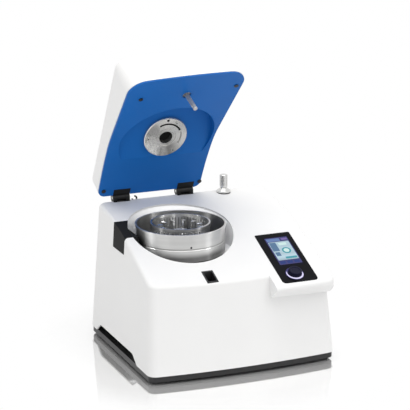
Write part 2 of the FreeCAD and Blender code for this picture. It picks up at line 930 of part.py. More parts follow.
def make_bracket(x):
    half = hinge_width / 2 - FIT_GAP
    front = hinge_y - notch_depth_y + FIT_GAP
    base_top = hinge_z - knuckle_radius - bracket_gap
    leg_rear = rear_wall_y(base_top, wall) - FIT_GAP
    leg = box((x - half, x + half), (front, leg_rear), (notch_z - bracket_leg, base_top))
    block_rear = rear_wall_y(notch_z) + bracket_proud
    block = box((x - half, x + half), (front, block_rear), (notch_z + FIT_GAP, base_top))
    ears = []
    for low in (x - half, x + half - ear_width):
        span = (low, low + ear_width)
        ears.append(bar_x(knuckle_radius, span, hinge_y, hinge_z))
        ears.append(box(span, (hinge_y - knuckle_radius, block_rear),
                        (base_top - bracket_gap, hinge_z)))
    bracket = joined(leg, block, *ears)
    bore = bar_x(hinge_pin_radius, (x - hinge_width, x + hinge_width), hinge_y, hinge_z)
    return bracket.cut(bore)


def make_hinge_pin(x):
    half = hinge_width / 2 - FIT_GAP
    head = (4.6, 1.6)
    pin = bar_x(hinge_pin_radius, (x - half, x + half), hinge_y, hinge_z)
    cap = bar_x(head[0], (x + half, x + half + head[1]), hinge_y, hinge_z)
    return joined(pin, cap)


leaf_gap = 1
leaf_arm_drop = 2


def make_leaf(x):
    half = hinge_width / 2 - FIT_GAP
    inner = half - ear_width - FIT_GAP
    barrel = bar_x(knuckle_radius, (x - inner, x + inner), hinge_y, hinge_z)
    front = lid_rear_y - leaf_depth + FIT_GAP
    rear = hinge_y - knuckle_radius - leaf_gap
    under = under_crown(lid_gap, (-housing_width, housing_width))
    pad_top = lid_frame_z
    pad = box((x - half, x + half), (front, rear), (crest_z - OVERRUN, pad_top)).cut(under)
    arm = box((x - inner, x + inner), (front, hinge_y),
              (hinge_z - leaf_arm_drop, hinge_z + knuckle_radius))
    bore = bar_x(hinge_pin_radius + RUN_GAP, (x - hinge_width, x + hinge_width),
                 hinge_y, hinge_z)
    return joined(pad, arm, barrel).cut(bore)


def make_stop_hook():
    hook_x = -106
    hook_set_back = 4.8
    loop_drop = 1
    tube_radius = 1.8
    loop_radius = 5
    hook_y = hinge_y - hook_set_back
    centre_z = crest_z - loop_drop
    loop = Part.makeTorus(loop_radius, tube_radius, V(hook_x, hook_y, centre_z), V(0, 1, 0))
    mouth = box((hook_x - loop_radius * 2, hook_x), (hook_y - OVERRUN, hook_y + OVERRUN),
                (centre_z, centre_z + loop_radius * 2))
    loop = loop.cut(mouth)
    foot_radius = 4
    foot = rod(foot_radius, (centre_z - loop_radius * 3, centre_z - loop_radius + tube_radius / 2),
               hook_x, hook_y)
    return joined(loop, foot).cut(housing_volume(0.0))


# Lid

lid_low_z = 150
lid_high_z = 380
lid_frame_z = 304
lid_frame_thickness = 3


def lid_side(z, inset):
    """The four plan limits of the lid at a height."""
    low = surface_z(lid_front_y, lid_gap)
    return (left_wall_x(z, inset),
            lid_right_x - lid_right_draft * (z - low) - inset,
            lid_front_y + lid_front_draft * (z - low) + inset,
            lid_rear_y - inset)


def lid_block(inset):
    """The lid's drafted walls, with no top and no bottom of their own."""
    wires = []
    for z, corner in zip((lid_low_z, lid_high_z), lid_corners):
        left, right, front, rear = lid_side(z, inset)
        wires.append(outline(z, (left, right), front, rear,
                             (corner - inset, lid_rear_corner - inset)))
    return Part.makeLoft(wires, True, True)


def lid_top_z(y, inset):
    """Height of the lid's sloping top."""
    return lid_rear_top_z - lid_slope * (lid_rear_y - y) - inset


def lid_under_top(inset):
    """Everything under the lid's top."""
    y = (-housing_width, housing_width)
    return slab_x([(y[0], -OVERRUN), (y[1], -OVERRUN), (y[1], lid_top_z(y[1], inset)),
                   (y[0], lid_top_z(y[0], inset))], y)


def lid_volume(inset, low):
    """The lid above the surface that follows the housing's top at a distance."""
    wide = (-housing_width, housing_width)
    return lid_block(inset).common(lid_under_top(inset)).cut(under_crown(low, wide))


mouth_radius = 36
mouth_z = 336


def make_lid_shell():
    shell = lid_volume(0.0, lid_gap + liner_thickness)
    top = [e for e in shell.Edges
           if all(abs(v.Point.z - lid_top_z(v.Point.y, 0.0)) < FIT_GAP for v in e.Vertexes)]
    shell = shell.makeFillet(lid_rounding, top)
    cavity = lid_volume(lid_wall, lid_gap)
    wells = [knuckle_pocket(x, FIT_GAP) for x in hinge_xs]
    mouth = rod(mouth_radius + FIT_GAP, (lid_frame_z, lid_high_z), chamber_x, chamber_y)
    return shell.cut([cavity, mouth] + wells)


latch_hole_radius = 9
liner_hole_gap = 0.2


def make_liner():
    wide = (-housing_width, housing_width)
    skin_top = lid_gap + liner_thickness
    plate = lid_block(liner_edge_gap).cut(under_crown(lid_gap, wide))
    sheet = plate.common(under_crown(skin_top, wide))
    cup = rod(dish_radius + liner_thickness, (lid_low_z, dish_floor_z + liner_thickness),
              chamber_x, chamber_y).common(plate).common(lid_block(lid_wall + FIT_GAP))
    dish = rod(dish_radius, (lid_low_z, dish_floor_z), chamber_x, chamber_y)
    liner = joined(sheet, cup).cut(dish)
    hole_z = (lid_low_z, lid_high_z)
    cuts = [rod(latch_hole_radius, hole_z, latch_x, latch_y),
            rod(feed_radius + feed_wall + liner_hole_gap, hole_z, chamber_x, chamber_y)]
    cuts += [knuckle_pocket(x, 0.0) for x in hinge_xs]
    for x, y in liner_screw_places:
        cuts.append(rod(liner_screw[0] + liner_hole_gap, hole_z, x, y))
    return liner.cut(cuts)


liner_screw = (2, 4.5, 1.6)
liner_screw_places = ((-160, -146), (42, -164), (-178, 138), (40, 138))


def make_liner_screws():
    screws = []
    wide = (-housing_width, housing_width)
    under = under_crown(lid_gap, wide)
    liner_top = under_crown(lid_gap + liner_thickness, wide)
    for x, y in liner_screw_places:
        z = surface_z(y, lid_gap)
        shank = rod(liner_screw[0], (z - OVERRUN, z + OVERRUN), x, y).common(liner_top)
        head = rod(liner_screw[1], (z - liner_screw[1], z + liner_screw[1]), x, y)
        head = head.common(under).cut(under_crown(lid_gap - liner_screw[2], wide))
        screws.append(joined(head, shank.cut(under)))
    return screws


feed_wall = 2.5
disc_radius = 47.5


def make_disc():
    rim = 1.5
    groove = (1.2, 2)
    groove_radius = 20
    slot_radii = (31, 35)
    slot_turn = (-120, 30)
    slot_depth = 3
    hole = (3, 42)
    screw_gap = 0.3
    bore = feed_radius + feed_wall + liner_hole_gap
    top = dish_floor_z
    groove_end = groove_radius + groove[1]
    profile = [(bore, disc_face_z), (groove_radius, disc_face_z),
               (groove_radius, disc_face_z + groove[0]),
               (groove_end, disc_face_z + groove[0]), (groove_end, disc_face_z),
               (disc_radius - rim, disc_face_z), (disc_radius, disc_face_z + rim),
               (disc_radius, top), (bore, top)]
    disc = turned(profile, chamber_x, chamber_y)
    slot = tube(slot_radii[1], slot_radii[0], (disc_face_z - OVERRUN, disc_face_z + slot_depth))
    far = disc_radius * 2
    low, high = (math.radians(a) for a in slot_turn)
    middle = (low + high) / 2
    wedge = slab_z([(0, 0), (far * math.cos(low), far * math.sin(low)),
                    (far * math.cos(middle), far * math.sin(middle)),
                    (far * math.cos(high), far * math.sin(high))],
                   (disc_face_z - OVERRUN, disc_face_z + slot_depth))
    slot = slot.common(wedge)
    slot.translate(V(chamber_x, chamber_y, 0))
    cuts = [slot, rod(hole[0], (disc_face_z - OVERRUN, disc_face_z + slot_depth),
                      chamber_x, chamber_y - hole[1])]
    screw_hole = rod(disc_screw[0] + screw_gap, (disc_face_z - OVERRUN, top + OVERRUN),
                     chamber_x + disc_screw_circle, chamber_y)
    cuts += ring_of(screw_hole, disc_screw_count, chamber_x, chamber_y, disc_screw_turn)
    return disc.cut(cuts)


disc_screw = (1.6, 3.2, 1.4)
disc_screw_circle = 39
disc_screw_count = 3
disc_screw_turn = 60


def make_disc_screws():
    screw = joined(rod(disc_screw[0], (disc_face_z, dish_floor_z), chamber_x + disc_screw_circle,
                       chamber_y),
                   rod(disc_screw[1], (disc_face_z - disc_screw[2], disc_face_z),
                       chamber_x + disc_screw_circle, chamber_y))
    return ring_of(screw, disc_screw_count, chamber_x, chamber_y, disc_screw_turn)


feed_collar = 2


def make_feed_tube():
    collar = feed_collar
    cone_z = 305
    outer = feed_radius + feed_wall
    profile = [(feed_radius, disc_face_z), (outer, disc_face_z), (outer, cone_z),
               (mouth_radius, mouth_z - OVERRUN), (mouth_radius, mouth_z),
               (mouth_radius + collar, mouth_z), (mouth_radius + collar, mouth_z + collar),
               (mouth_radius - feed_wall, mouth_z + collar),
               (mouth_radius - feed_wall, mouth_z - OVERRUN), (feed_radius, cone_z)]
    return turned(profile, chamber_x, chamber_y)


def make_lid_frame():
    front = -112
    side_gap = 14
    inner_hole = mouth_radius - OVERRUN
    z = (lid_frame_z, lid_frame_z + lid_frame_thickness)
    left, right, _, rear = lid_side(lid_frame_z, lid_wall + side_gap)
    plate = box((left, right), (front, lid_rear_y - leaf_depth + OVERRUN), z)
    hole = rod(inner_hole, (z[0] - OVERRUN, z[1] + OVERRUN), chamber_x, chamber_y)
    return plate.cut([hole])


def make_latch_pin():
    surface = surface_z(latch_y, lid_gap)
    tip = surface - latch_reach
    neck_low = tip + latch_head
    neck_high = neck_low + latch_neck
    flange = (13, 3)
    lead = 1.5
    wide = (-housing_width, housing_width)
    seat = surface_z(latch_y + flange[0], lid_gap + liner_thickness)
    profile = [(0, tip), (latch_pin_radius - lead, tip), (latch_pin_radius, tip + lead),
               (latch_pin_radius, neck_low), (latch_neck_radius, neck_low),
               (latch_neck_radius, neck_high), (latch_pin_radius, neck_high),
               (latch_pin_radius, seat + flange[1]), (0, seat + flange[1])]
    pin = turned(profile, latch_x, latch_y)
    low = surface_z(latch_y - flange[0], lid_gap + liner_thickness)
    foot = rod(flange[0], (low, seat + flange[1]), latch_x, latch_y)
    foot = foot.cut(under_crown(lid_gap + liner_thickness, wide))
    return joined(pin, foot)


def make_feed_plug():
    cap_gap = 1
    stem_gap = 0.6
    stem_low = 282
    stem_high = 306
    cap_low = 3
    lip_grow = 1
    cap_thickness = 5
    knob = (14, 9)
    knob_zs = (3, 6, 11)
    cap = mouth_radius - feed_wall - cap_gap
    stem = feed_radius - stem_gap
    cap_z = mouth_z + feed_collar
    cap_top = cap_z + cap_thickness
    lip = mouth_radius + lip_grow
    profile = [(0, stem_low), (stem, stem_low), (stem, stem_high),
               (cap, mouth_z - OVERRUN + cap_low), (cap, cap_z), (lip, cap_z), (lip, cap_top),
               (knob[1], cap_top), (knob[1], cap_top + knob_zs[0]),
               (knob[0], cap_top + knob_zs[1]), (knob[0], cap_top + knob_zs[2]),
               (0, cap_top + knob_zs[2])]
    return turned(profile, chamber_x, chamber_y)


# Latch in the housing

socket_bottom = 148
socket_proud = 0.8
catch_thickness = 4
catch_lift = 1
catch_width = 16
catch_length = 26
catch_gap = 0.5
catch_slot_gap = 1
fork_gap = 0.6


def catch_z():
    """The height of the catch, beside the pin's neck when the lid is closed."""
    tip = surface_z(latch_y, lid_gap) - latch_reach
    low = tip + latch_head + catch_lift
    return (low, low + catch_thickness)


def make_latch_socket():
    plan = socket_plan(0.0)
    wide = (-housing_width, housing_width)
    block = box(plan[0], plan[1], (socket_bottom, crest_z))
    block = block.common(under_crown(socket_proud, wide))
    inside = box((latch_x - socket_width / 2, latch_x + socket_width / 2),
                 (socket_low_y, socket_high_y), (socket_bottom + socket_wall, crest_z))
    slot_half = catch_width / 2 + catch_slot_gap
    low, high = catch_z()
    slot = box((latch_x, latch_x + socket_width), (latch_y - slot_half, latch_y + slot_half),
               (low - catch_slot_gap, high + catch_slot_gap))
    return block.cut([inside, slot])


def make_latch_catch():
    low, high = catch_z()
    fork_half = latch_neck_radius + fork_gap
    start = latch_x + socket_width / 2 + catch_gap
    deep = catch_travel + fork_half + catch_slot_gap
    plate = box((start, start + catch_length),
                (latch_y - catch_width / 2, latch_y + catch_width / 2), (low, high))
    fork = box((start - OVERRUN, start + deep), (latch_y - fork_half, latch_y + fork_half),
               (low - OVERRUN, high + OVERRUN))
    return plate.cut(fork)


def make_latch_actuator():
    size = (44, 30, 29)
    end_wall = 6
    low, high = catch_z()
    start = socket_plan(0.0)[0][1]
    middle = (low + high) / 2
    block = box((start, start + size[0]), (latch_y - size[1] / 2, latch_y + size[1] / 2),
                (middle - size[2] / 2, middle + size[2] / 2))
    channel = box((start - OVERRUN, start + size[0] - end_wall),
                  (latch_y - catch_width / 2 - FIT_GAP, latch_y + catch_width / 2 + FIT_GAP),
                  (low - FIT_GAP, high + FIT_GAP))
    return block.cut(channel)


# Display

screen_corner = 1
bezel_top = bezel_size[2] - bezel_sunk
ring_seat = bezel_top - bezel_size[2] / 2
ring_proud = 1
encoder_size = (22, 22, 18)
encoder_floor = 2


def make_bezel():
    glass = (screen_size[0] + FIT_GAP, screen_size[1] + FIT_GAP, screen_size[2] + OVERRUN)
    cuts = [panel_slab(glass, screen_centre, bezel_top + OVERRUN, screen_corner),
            rod(ring_radii[0] + FIT_GAP / 2, (ring_seat, bezel_top + OVERRUN), *knob_centre),
            rod(plunger_radius + FIT_GAP * 2, (-OVERRUN, OVERRUN), *knob_centre)]
    return bezel_plate(0.0, (-bezel_sunk, bezel_top)).cut([on_panel(cut) for cut in cuts])


def make_screen():
    return on_panel(panel_slab(screen_size, screen_centre, bezel_top, screen_corner))


def make_knob_ring():
    return on_panel(tube(ring_radii[0], ring_radii[1], (ring_seat, bezel_top + ring_proud),
                         *knob_centre))


knob_low = ring_seat + knob_skirt_gap


def make_plunger():
    reach = 16
    return on_panel(rod(plunger_radius, (knob_low - reach, knob_low), *knob_centre))


def make_knob():
    top = knob_low + knob_height
    dish = (9.5, 1)
    round_off = 1.2
    profile = [(0, knob_low), (knob_radius, knob_low), (knob_radius, top - round_off),
               (knob_radius - round_off, top), (dish[0], top), (dish[0] - dish[1], top - dish[1]),
               (0, top - dish[1])]
    return on_panel(turned(profile, *knob_centre))


def make_encoder():
    top = -bezel_sunk
    low = top - encoder_size[2]
    body = box((knob_centre[0] - encoder_size[0] / 2, knob_centre[0] + encoder_size[0] / 2),
               (knob_centre[1] - encoder_size[1] / 2, knob_centre[1] + encoder_size[1] / 2),
               (low, top))
    bore = rod(plunger_radius + FIT_GAP, (low + encoder_floor, top + OVERRUN), *knob_centre)
    return on_panel(body.cut(bore))


def make_board():
    size = (62, 88, 1.6)
    corner = 2
    centre = (0, 18)
    drop = 12
    post = 3
    post_margin = 1
    chip = (18, 18, 3)
    chip_places = ((-10, 6), (14, 34))
    top = -bezel_sunk - drop
    pieces = [panel_slab(size, centre, top, corner)]
    for sx in (-1, 1):
        for sy in (-1, 1):
            x = centre[0] + sx * (size[0] / 2 - post - post_margin)
            y = centre[1] + sy * (size[1] / 2 - post - post_margin)
            pieces.append(rod(post, (top - size[2] / 2, -bezel_sunk), x, y))
    for x, y in chip_places:
        pieces.append(box((x - chip[0] / 2, x + chip[0] / 2), (y - chip[1] / 2, y + chip[1] / 2),
                          (top - size[2] - chip[2], top - size[2] / 2)))
    return on_panel(joined(*pieces))


def make_converter():
    x = (66, 186)
    y = (-70, 50)
    floor = foot_height + tray_floor
    height = 50
    fin_count = 12
    fin_height = 22
    fin_thickness = 3
    pieces = [box(x, y, (floor, floor + height))]
    pitch = (x[1] - x[0] - fin_thickness) / (fin_count - 1)
    for i in range(fin_count):
        low = x[0] + i * pitch
        pieces.append(box((low, low + fin_thickness), y,
                          (floor + height, floor + height + fin_height)))
    return joined(*pieces)


# Rear

rear_hole_lap = 1
grille_pitch = 9
grille_slot = 5
grille_rows = 7
vent_inset = (66, 73)
vent_place = (vent_inset[0] - rear_panel_size[0] / 2, rear_panel_size[2] / 2 - vent_inset[1])
vent_size = (80, 4)
vent_rows = 6
panel_screw = (1.8, 3.6, 1.8)
panel_screw_inset = 4.5


def panel_screw_places():
    """The six screws along the upper and lower edges of the rear panel."""
    half_x = rear_panel_size[0] / 2 - panel_screw_inset
    half_z = rear_panel_size[2] / 2 - panel_screw_inset
    return [(x, z) for x in (-half_x, 0, half_x) for z in (-half_z, half_z)]


def grown(size, grow):
    """A size in the plane of the rear panel, made larger all round."""
    return (size[0] + grow * 2, size[1] + grow * 2)


def make_rear_panel():
    outer = local_box((0, 0), (rear_panel_size[0], rear_panel_size[2]), (0, rear_panel_size[1]))
    upright = [e for e in outer.Edges if e.BoundBox.YLength > rear_panel_size[1] / 2]
    outer = outer.makeFillet(rear_window_margin, upright)
    y = (-OVERRUN, OVERRUN)
    cuts = [local_box(inlet_place, grown(inlet_size, -rear_hole_lap), y),
            local_box(switch_place, grown(switch_size, -rear_hole_lap), y)]
    for i in range(grille_rows):
        rise = (i - (grille_rows - 1) / 2) * grille_pitch
        reach = math.sqrt(fan_bore**2 - rise**2)
        cuts.append(local_box((fan_place[0], fan_place[1] + rise), (reach * 2, grille_slot), y))
    for i in range(vent_rows):
        rise = (i - (vent_rows - 1) / 2) * grille_pitch
        cuts.append(local_box((vent_place[0], vent_place[1] + rise), vent_size, y))
    for x, z in panel_screw_places():
        cuts.append(bar_y(panel_screw[0] + FIT_GAP, y, x, z))
    return on_rear(outer.cut(cuts))


def make_panel_screws():
    face = rear_panel_size[1]
    return [on_rear(joined(bar_y(panel_screw[0], (0, face), x, z),
                           bar_y(panel_screw[1], (face, face + panel_screw[2]), x, z)))
            for x, z in panel_screw_places()]


inlet_flange = (3, 2)
socket_size = (25, 16)
socket_rise = 4
socket_depth = 17
contact_size = (2, 4)
contact_recess = 1
contact_places = ((-7, -2), (0, 2), (7, -2))
drawer_size = (24, 5)
drawer_drop = 9
drawer_gap = 0.3
drawer_lip = (20, 2, 1.5)


def make_inlet():
    face = rear_panel_size[1]
    body = joined(
        local_box(inlet_place, grown(inlet_size, -rear_hole_lap - FIT_GAP), (-inlet_depth, face)),
        local_box(inlet_place, grown(inlet_size, inlet_flange[0]), (face, face + inlet_flange[1])))
    socket_centre = (inlet_place[0], inlet_place[1] + socket_rise)
    drawer_centre = (inlet_place[0], inlet_place[1] - drawer_drop)
    y = (-socket_depth, face + OVERRUN)
    body = body.cut([local_box(socket_centre, socket_size, y),
                     local_box(drawer_centre, grown(drawer_size, drawer_gap), y)])
    for dx, dz in contact_places:
        contact = local_box((socket_centre[0] + dx, socket_centre[1] + dz), contact_size,
                            (-socket_depth - contact_recess, -contact_recess))
        body = body.fuse(contact)
    return on_rear(body.removeSplitter())


def make_fuse_drawer():
    face = rear_panel_size[1] + inlet_flange[1]
    centre = (inlet_place[0], inlet_place[1] - drawer_drop)
    body = local_box(centre, drawer_size, (-socket_depth + drawer_gap, face))
    lip = local_box(centre, (drawer_lip[0], drawer_size[1]), (face, face + drawer_lip[2]))
    return on_rear(joined(body, lip))


switch_flange = (1.5, 1.6)
switch_wall = (3.4, 3.5)
switch_floor = 1.6
rocker_swing = 18
rocker_pivot = -2
rocker_half = (6, 9.6)
rocker_depth = 4
rocker_dish = 0.7
rocker_proud = 1.5
rocker_narrow = 2
rocker_axle = (1.5, 6.5)


def make_switch_frame():
    face = rear_panel_size[1]
    body = joined(
        local_box(switch_place, grown(switch_size, -rear_hole_lap - FIT_GAP),
                  (-switch_depth, face)),
        local_box(switch_place, grown(switch_size, switch_flange[0]),
                  (face, face + switch_flange[1])))
    hollow = (switch_size[0] - switch_wall[0] * 2, switch_size[1] - switch_wall[1] * 2)
    return on_rear(body.cut(local_box(switch_place, hollow,
                                      (switch_floor - switch_depth, face + OVERRUN))))


def make_rocker():
    face = rear_panel_size[1] + rocker_proud
    half = rocker_half[1]
    low = rocker_pivot - rocker_depth
    body = slab_x([(low, rocker_narrow - half), (low, half - rocker_narrow), (face, half),
                   (face - rocker_dish, 0), (face, -half)], (-rocker_half[0], rocker_half[0]))
    body.rotate(V(0, rocker_pivot, 0), V(1, 0, 0), rocker_swing / 2)
    axle = bar_x(rocker_axle[0], (-rocker_axle[1], rocker_axle[1]), rocker_pivot, 0)
    body = body.fuse(axle).removeSplitter()
    body.translate(V(switch_place[0], 0, switch_place[1]))
    return on_rear(body)


fan_back = -wall - FIT_GAP
fan_plate = 3
fan_hub = 15
fan_strut = 4
fan_axle = 2
fan_tip_gap = 2.5
fan_screw = (3, 5)
fan_rim = 1
blade_count = 7
blade_thickness = 4
blade_twist = 38
blade_margin = 2


def make_fan_frame():
    low = fan_back - fan_depth
    plate = (low, low + fan_plate)
    frame = local_box(fan_place, (fan_size, fan_size), (low, fan_back))
    frame = frame.cut(bar_y(fan_bore + fan_rim, (low - OVERRUN, fan_back + OVERRUN), *fan_place))
    pieces = [bar_y(fan_hub, plate, *fan_place),
              local_box(fan_place, (fan_size, fan_strut), plate),
              local_box(fan_place, (fan_strut, fan_size), plate),
              bar_y(fan_axle, (low, fan_back - fan_plate * 2), *fan_place)]
    for sx in (-1, 1):
        for sz in (-1, 1):
            x = fan_place[0] + sx * (fan_size / 2 - fan_screw[1])
            z = fan_place[1] + sz * (fan_size / 2 - fan_screw[1])
            pieces.append(bar_y(fan_screw[0], (fan_back, 0), x, z))
    return on_rear(joined(frame, *pieces))


def make_fan_impeller():
    low = fan_back - fan_depth + fan_plate + blade_margin / 2
    high = fan_back - fan_plate
    tip = fan_bore + fan_rim - fan_tip_gap
    hub = bar_y(fan_hub, (low, high))
    bore = bar_y(fan_axle + RUN_GAP, (low - OVERRUN, high - blade_margin))
    pieces = [hub.cut(bore)]
    for i in range(blade_count):
        blade = box((-blade_thickness / 2, blade_thickness / 2),
                    (low + blade_margin, high - blade_margin), (fan_hub - blade_margin, tip))
        blade.rotate(V(0, (low + high) / 2, 0), V(0, 0, 1), blade_twist)
        blade = blade.common(bar_y(tip, (low, high)))
        blade.rotate(V(0, 0, 0), V(0, 1, 0), 360 * i / blade_count)
        pieces.append(blade)
    whole = joined(*pieces)
    whole.translate(V(fan_place[0], 0, fan_place[1]))
    return on_rear(whole)


def build():
    os.makedirs("parts", exist_ok=True)
    save("housing", make_housing())
    save("base_tray", make_base_tray())
    save("feet", *make_feet())
    save("chamber_tub", make_tub())
    save("tub_screws", *make_tub_screws())
    save("chamber_seal", make_chamber_seal())
    save("motor_plate", make_motor_plate())
    save("motor_posts", *make_motor_posts())
    save("motor_casing", make_motor_casing())
    save("motor_stator", make_motor_stator())
    save("motor_end_bell", make_end_bell())
    save("bearing_outer_rings", *make_outer_rings())
    save("bearing_inner_rings", *make_inner_rings())
    save("bearing_balls", *make_balls())
    save("shaft_seal", make_shaft_seal())
    save("motor_shaft", make_motor_shaft())
    save("magnet_core", make_magnet_core())
    save("drive_hub", make_drive_hub())
    save("cooling_impeller", make_cooling_impeller())
    save("toothed_rotor", make_rotor())
    save("collecting_pan", make_pan())
    save("ring_sieve", make_sieve())
    save("passage_cover", make_passage_cover())
    save("tool_holder", make_tool_holder())
    save("rotor_tool", make_tool())
    save("hinge_brackets", *[make_bracket(x) for x in hinge_xs])
    save("hinge_pins", *[make_hinge_pin(x) for x in hinge_xs])
    save("hinge_leaves", *[lid_open(make_leaf(x)) for x in hinge_xs])
    save("lid_stop_hook", make_stop_hook())
    save("lid_shell", lid_open(make_lid_shell()))
    save("lid_liner", lid_open(make_liner()))
    save("liner_screws", *[lid_open(s) for s in make_liner_screws()])
    save("labyrinth_disc", lid_open(make_disc()))
    save("disc_screws", *[lid_open(s) for s in make_disc_screws()])
    save("feed_tube", lid_open(make_feed_tube()))
    save("feed_plug", lid_open(make_feed_plug()))
    save("lid_frame", lid_open(make_lid_frame()))
    save("latch_pin", lid_open(make_latch_pin()))
    save("latch_socket", make_latch_socket())
    save("latch_catch", make_latch_catch())
    save("latch_actuator", make_latch_actuator())
    save("display_bezel", make_bezel())
    save("touch_screen", make_screen())
    save("knob_ring", make_knob_ring())
    save("knob_plunger", make_plunger())
    save("control_knob", make_knob())
    save("knob_encoder", make_encoder())
    save("control_board", make_board())
    save("power_converter", make_converter())
    save("rear_panel", make_rear_panel())
    save("panel_screws", *make_panel_screws())
    save("power_inlet", make_inlet())
    save("fuse_drawer", make_fuse_drawer())
    save("switch_frame", make_switch_frame())
    save("switch_rocker", make_rocker())
    save("fan_frame", make_fan_frame())
    save("fan_impeller", make_fan_impeller())


if __name__ == "__main__":
    build()
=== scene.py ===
import bpy
import bmesh
import math
from mathutils import Matrix, Vector


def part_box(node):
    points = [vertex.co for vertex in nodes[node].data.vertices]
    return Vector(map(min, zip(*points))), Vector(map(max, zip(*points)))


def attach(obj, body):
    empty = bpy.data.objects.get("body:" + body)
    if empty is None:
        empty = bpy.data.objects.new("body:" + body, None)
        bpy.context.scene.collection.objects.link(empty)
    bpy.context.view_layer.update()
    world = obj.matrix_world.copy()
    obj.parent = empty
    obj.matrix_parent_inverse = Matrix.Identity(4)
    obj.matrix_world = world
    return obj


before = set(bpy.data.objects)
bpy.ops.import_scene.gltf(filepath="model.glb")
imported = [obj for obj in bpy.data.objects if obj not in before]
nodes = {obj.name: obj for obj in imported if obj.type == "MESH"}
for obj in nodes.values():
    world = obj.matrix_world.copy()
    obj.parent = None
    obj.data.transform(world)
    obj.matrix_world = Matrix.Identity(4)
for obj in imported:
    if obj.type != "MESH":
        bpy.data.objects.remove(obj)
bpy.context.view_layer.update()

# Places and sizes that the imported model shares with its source, in metres
CHAMBER = Vector((-0.0635, -0.001, 0.0))
HINGE = Vector((0.0, 0.1614, 0.2953))
LID_ANGLE = math.radians(68.5)
LATCH_PIN = Vector((-0.061, -0.147, 0))
TOOL = Vector((0.093, 0.14, 0))
PAN_INSIDE = 0.0918
PANEL_ANGLE = math.radians(21.8)
PANEL_XY = (0.120, -0.127)
BEZEL_HALF = 0.080
BEZEL_PROUD = 0.001
KNOB = (-0.004, -0.054)
REAR_LEAN = 0.044
REAR_ANGLE = math.atan(REAR_LEAN)
REAR_PLACE = Vector((0, 0.174 - REAR_LEAN * 0.114, 0.132))
SLOT_RADII = (0.0311, 0.0349)
SLOT_FLOOR = 0.2742
DISC_HOLE = (0.0029, -0.042)


# Node helpers

NOISE_LOW, NOISE_HIGH = 0.3, 0.7


def new_material(name):
    mat = bpy.data.materials.new(name)
    mat.use_nodes = True
    tree = mat.node_tree
    return mat, tree, tree.nodes["Principled BSDF"]


def add(tree, kind, inputs=None, **settings):
    """A new node with its settings, and its inputs set or linked by name or index."""
    made = tree.nodes.new(kind)
    for key, value in settings.items():
        setattr(made, key, value)
    for key, value in (inputs or {}).items():
        if isinstance(value, bpy.types.NodeSocket):
            tree.links.new(value, made.inputs[key])
        else:
            made.inputs[key].default_value = value
    return made


def math_node(tree, operation, a, b=0.0):
    return add(tree, "ShaderNodeMath", {0: a, 1: b}, operation=operation).outputs[0]


def place(tree, scale=(1, 1, 1)):
    """The point in the object's own frame, stretched."""
    coord = add(tree, "ShaderNodeTexCoord").outputs["Object"]
    return add(tree, "ShaderNodeMapping", {"Vector": coord, "Scale": scale}).outputs[0]


def noise(tree, vector, scale, detail, rough=0.55):
    made = add(tree, "ShaderNodeTexNoise",
               {"Vector": vector, "Scale": scale, "Detail": detail, "Roughness": rough})
    return made.outputs[0]


def ramp(tree, fac, stops):
    """A colour ramp from (position, colour) pairs."""
    made = add(tree, "ShaderNodeValToRGB", {0: fac})
    elements = made.color_ramp.elements
    while len(elements) < len(stops):
        elements.new(0.5)
    for element, (position, colour) in zip(elements, stops):
        element.position = position
        element.color = (*colour, 1)
    return made.outputs[0]


def span(tree, fac, low, high):
    """A noise value stretched over a range, from the part of its own where most of it lies."""
    return add(tree, "ShaderNodeMapRange",
               {0: fac, 1: NOISE_LOW, 2: NOISE_HIGH, 3: low, 4: high}).outputs[0]


def bump(tree, height, strength, distance):
    return add(tree, "ShaderNodeBump",
               {"Height": height, "Strength": strength, "Distance": distance}).outputs[0]


def shade(colour, share):
    return tuple(min(1.0, c * share) for c in colour)


def drift_stops(colour, spread):
    """Two tones round a colour, for a slow drift from one to the other."""
    return [(NOISE_LOW, shade(colour, 1 - spread)), (NOISE_HIGH, shade(colour, 1 + spread))]


GRAIN_DEPTH = 0.00006
TOOL_MARK_DEPTH = 0.00005


def moulded(name, colour, rough, grain, strength, spread, specular=0.5):
    """Moulded or painted plastic: a fine grain, a slow change of tone and of gloss."""
    mat, tree, bsdf = new_material(name)
    fine = noise(tree, place(tree), grain, 2.0)
    slow = noise(tree, place(tree), 7.0, 4.0)
    tint = ramp(tree, slow, drift_stops(colour, spread))
    tree.links.new(tint, bsdf.inputs["Base Color"])
    tree.links.new(span(tree, slow, rough - 0.05, rough + 0.06), bsdf.inputs["Roughness"])
    tree.links.new(bump(tree, fine, strength, GRAIN_DEPTH), bsdf.inputs["Normal"])
    bsdf.inputs["Specular IOR Level"].default_value = specular
    return mat


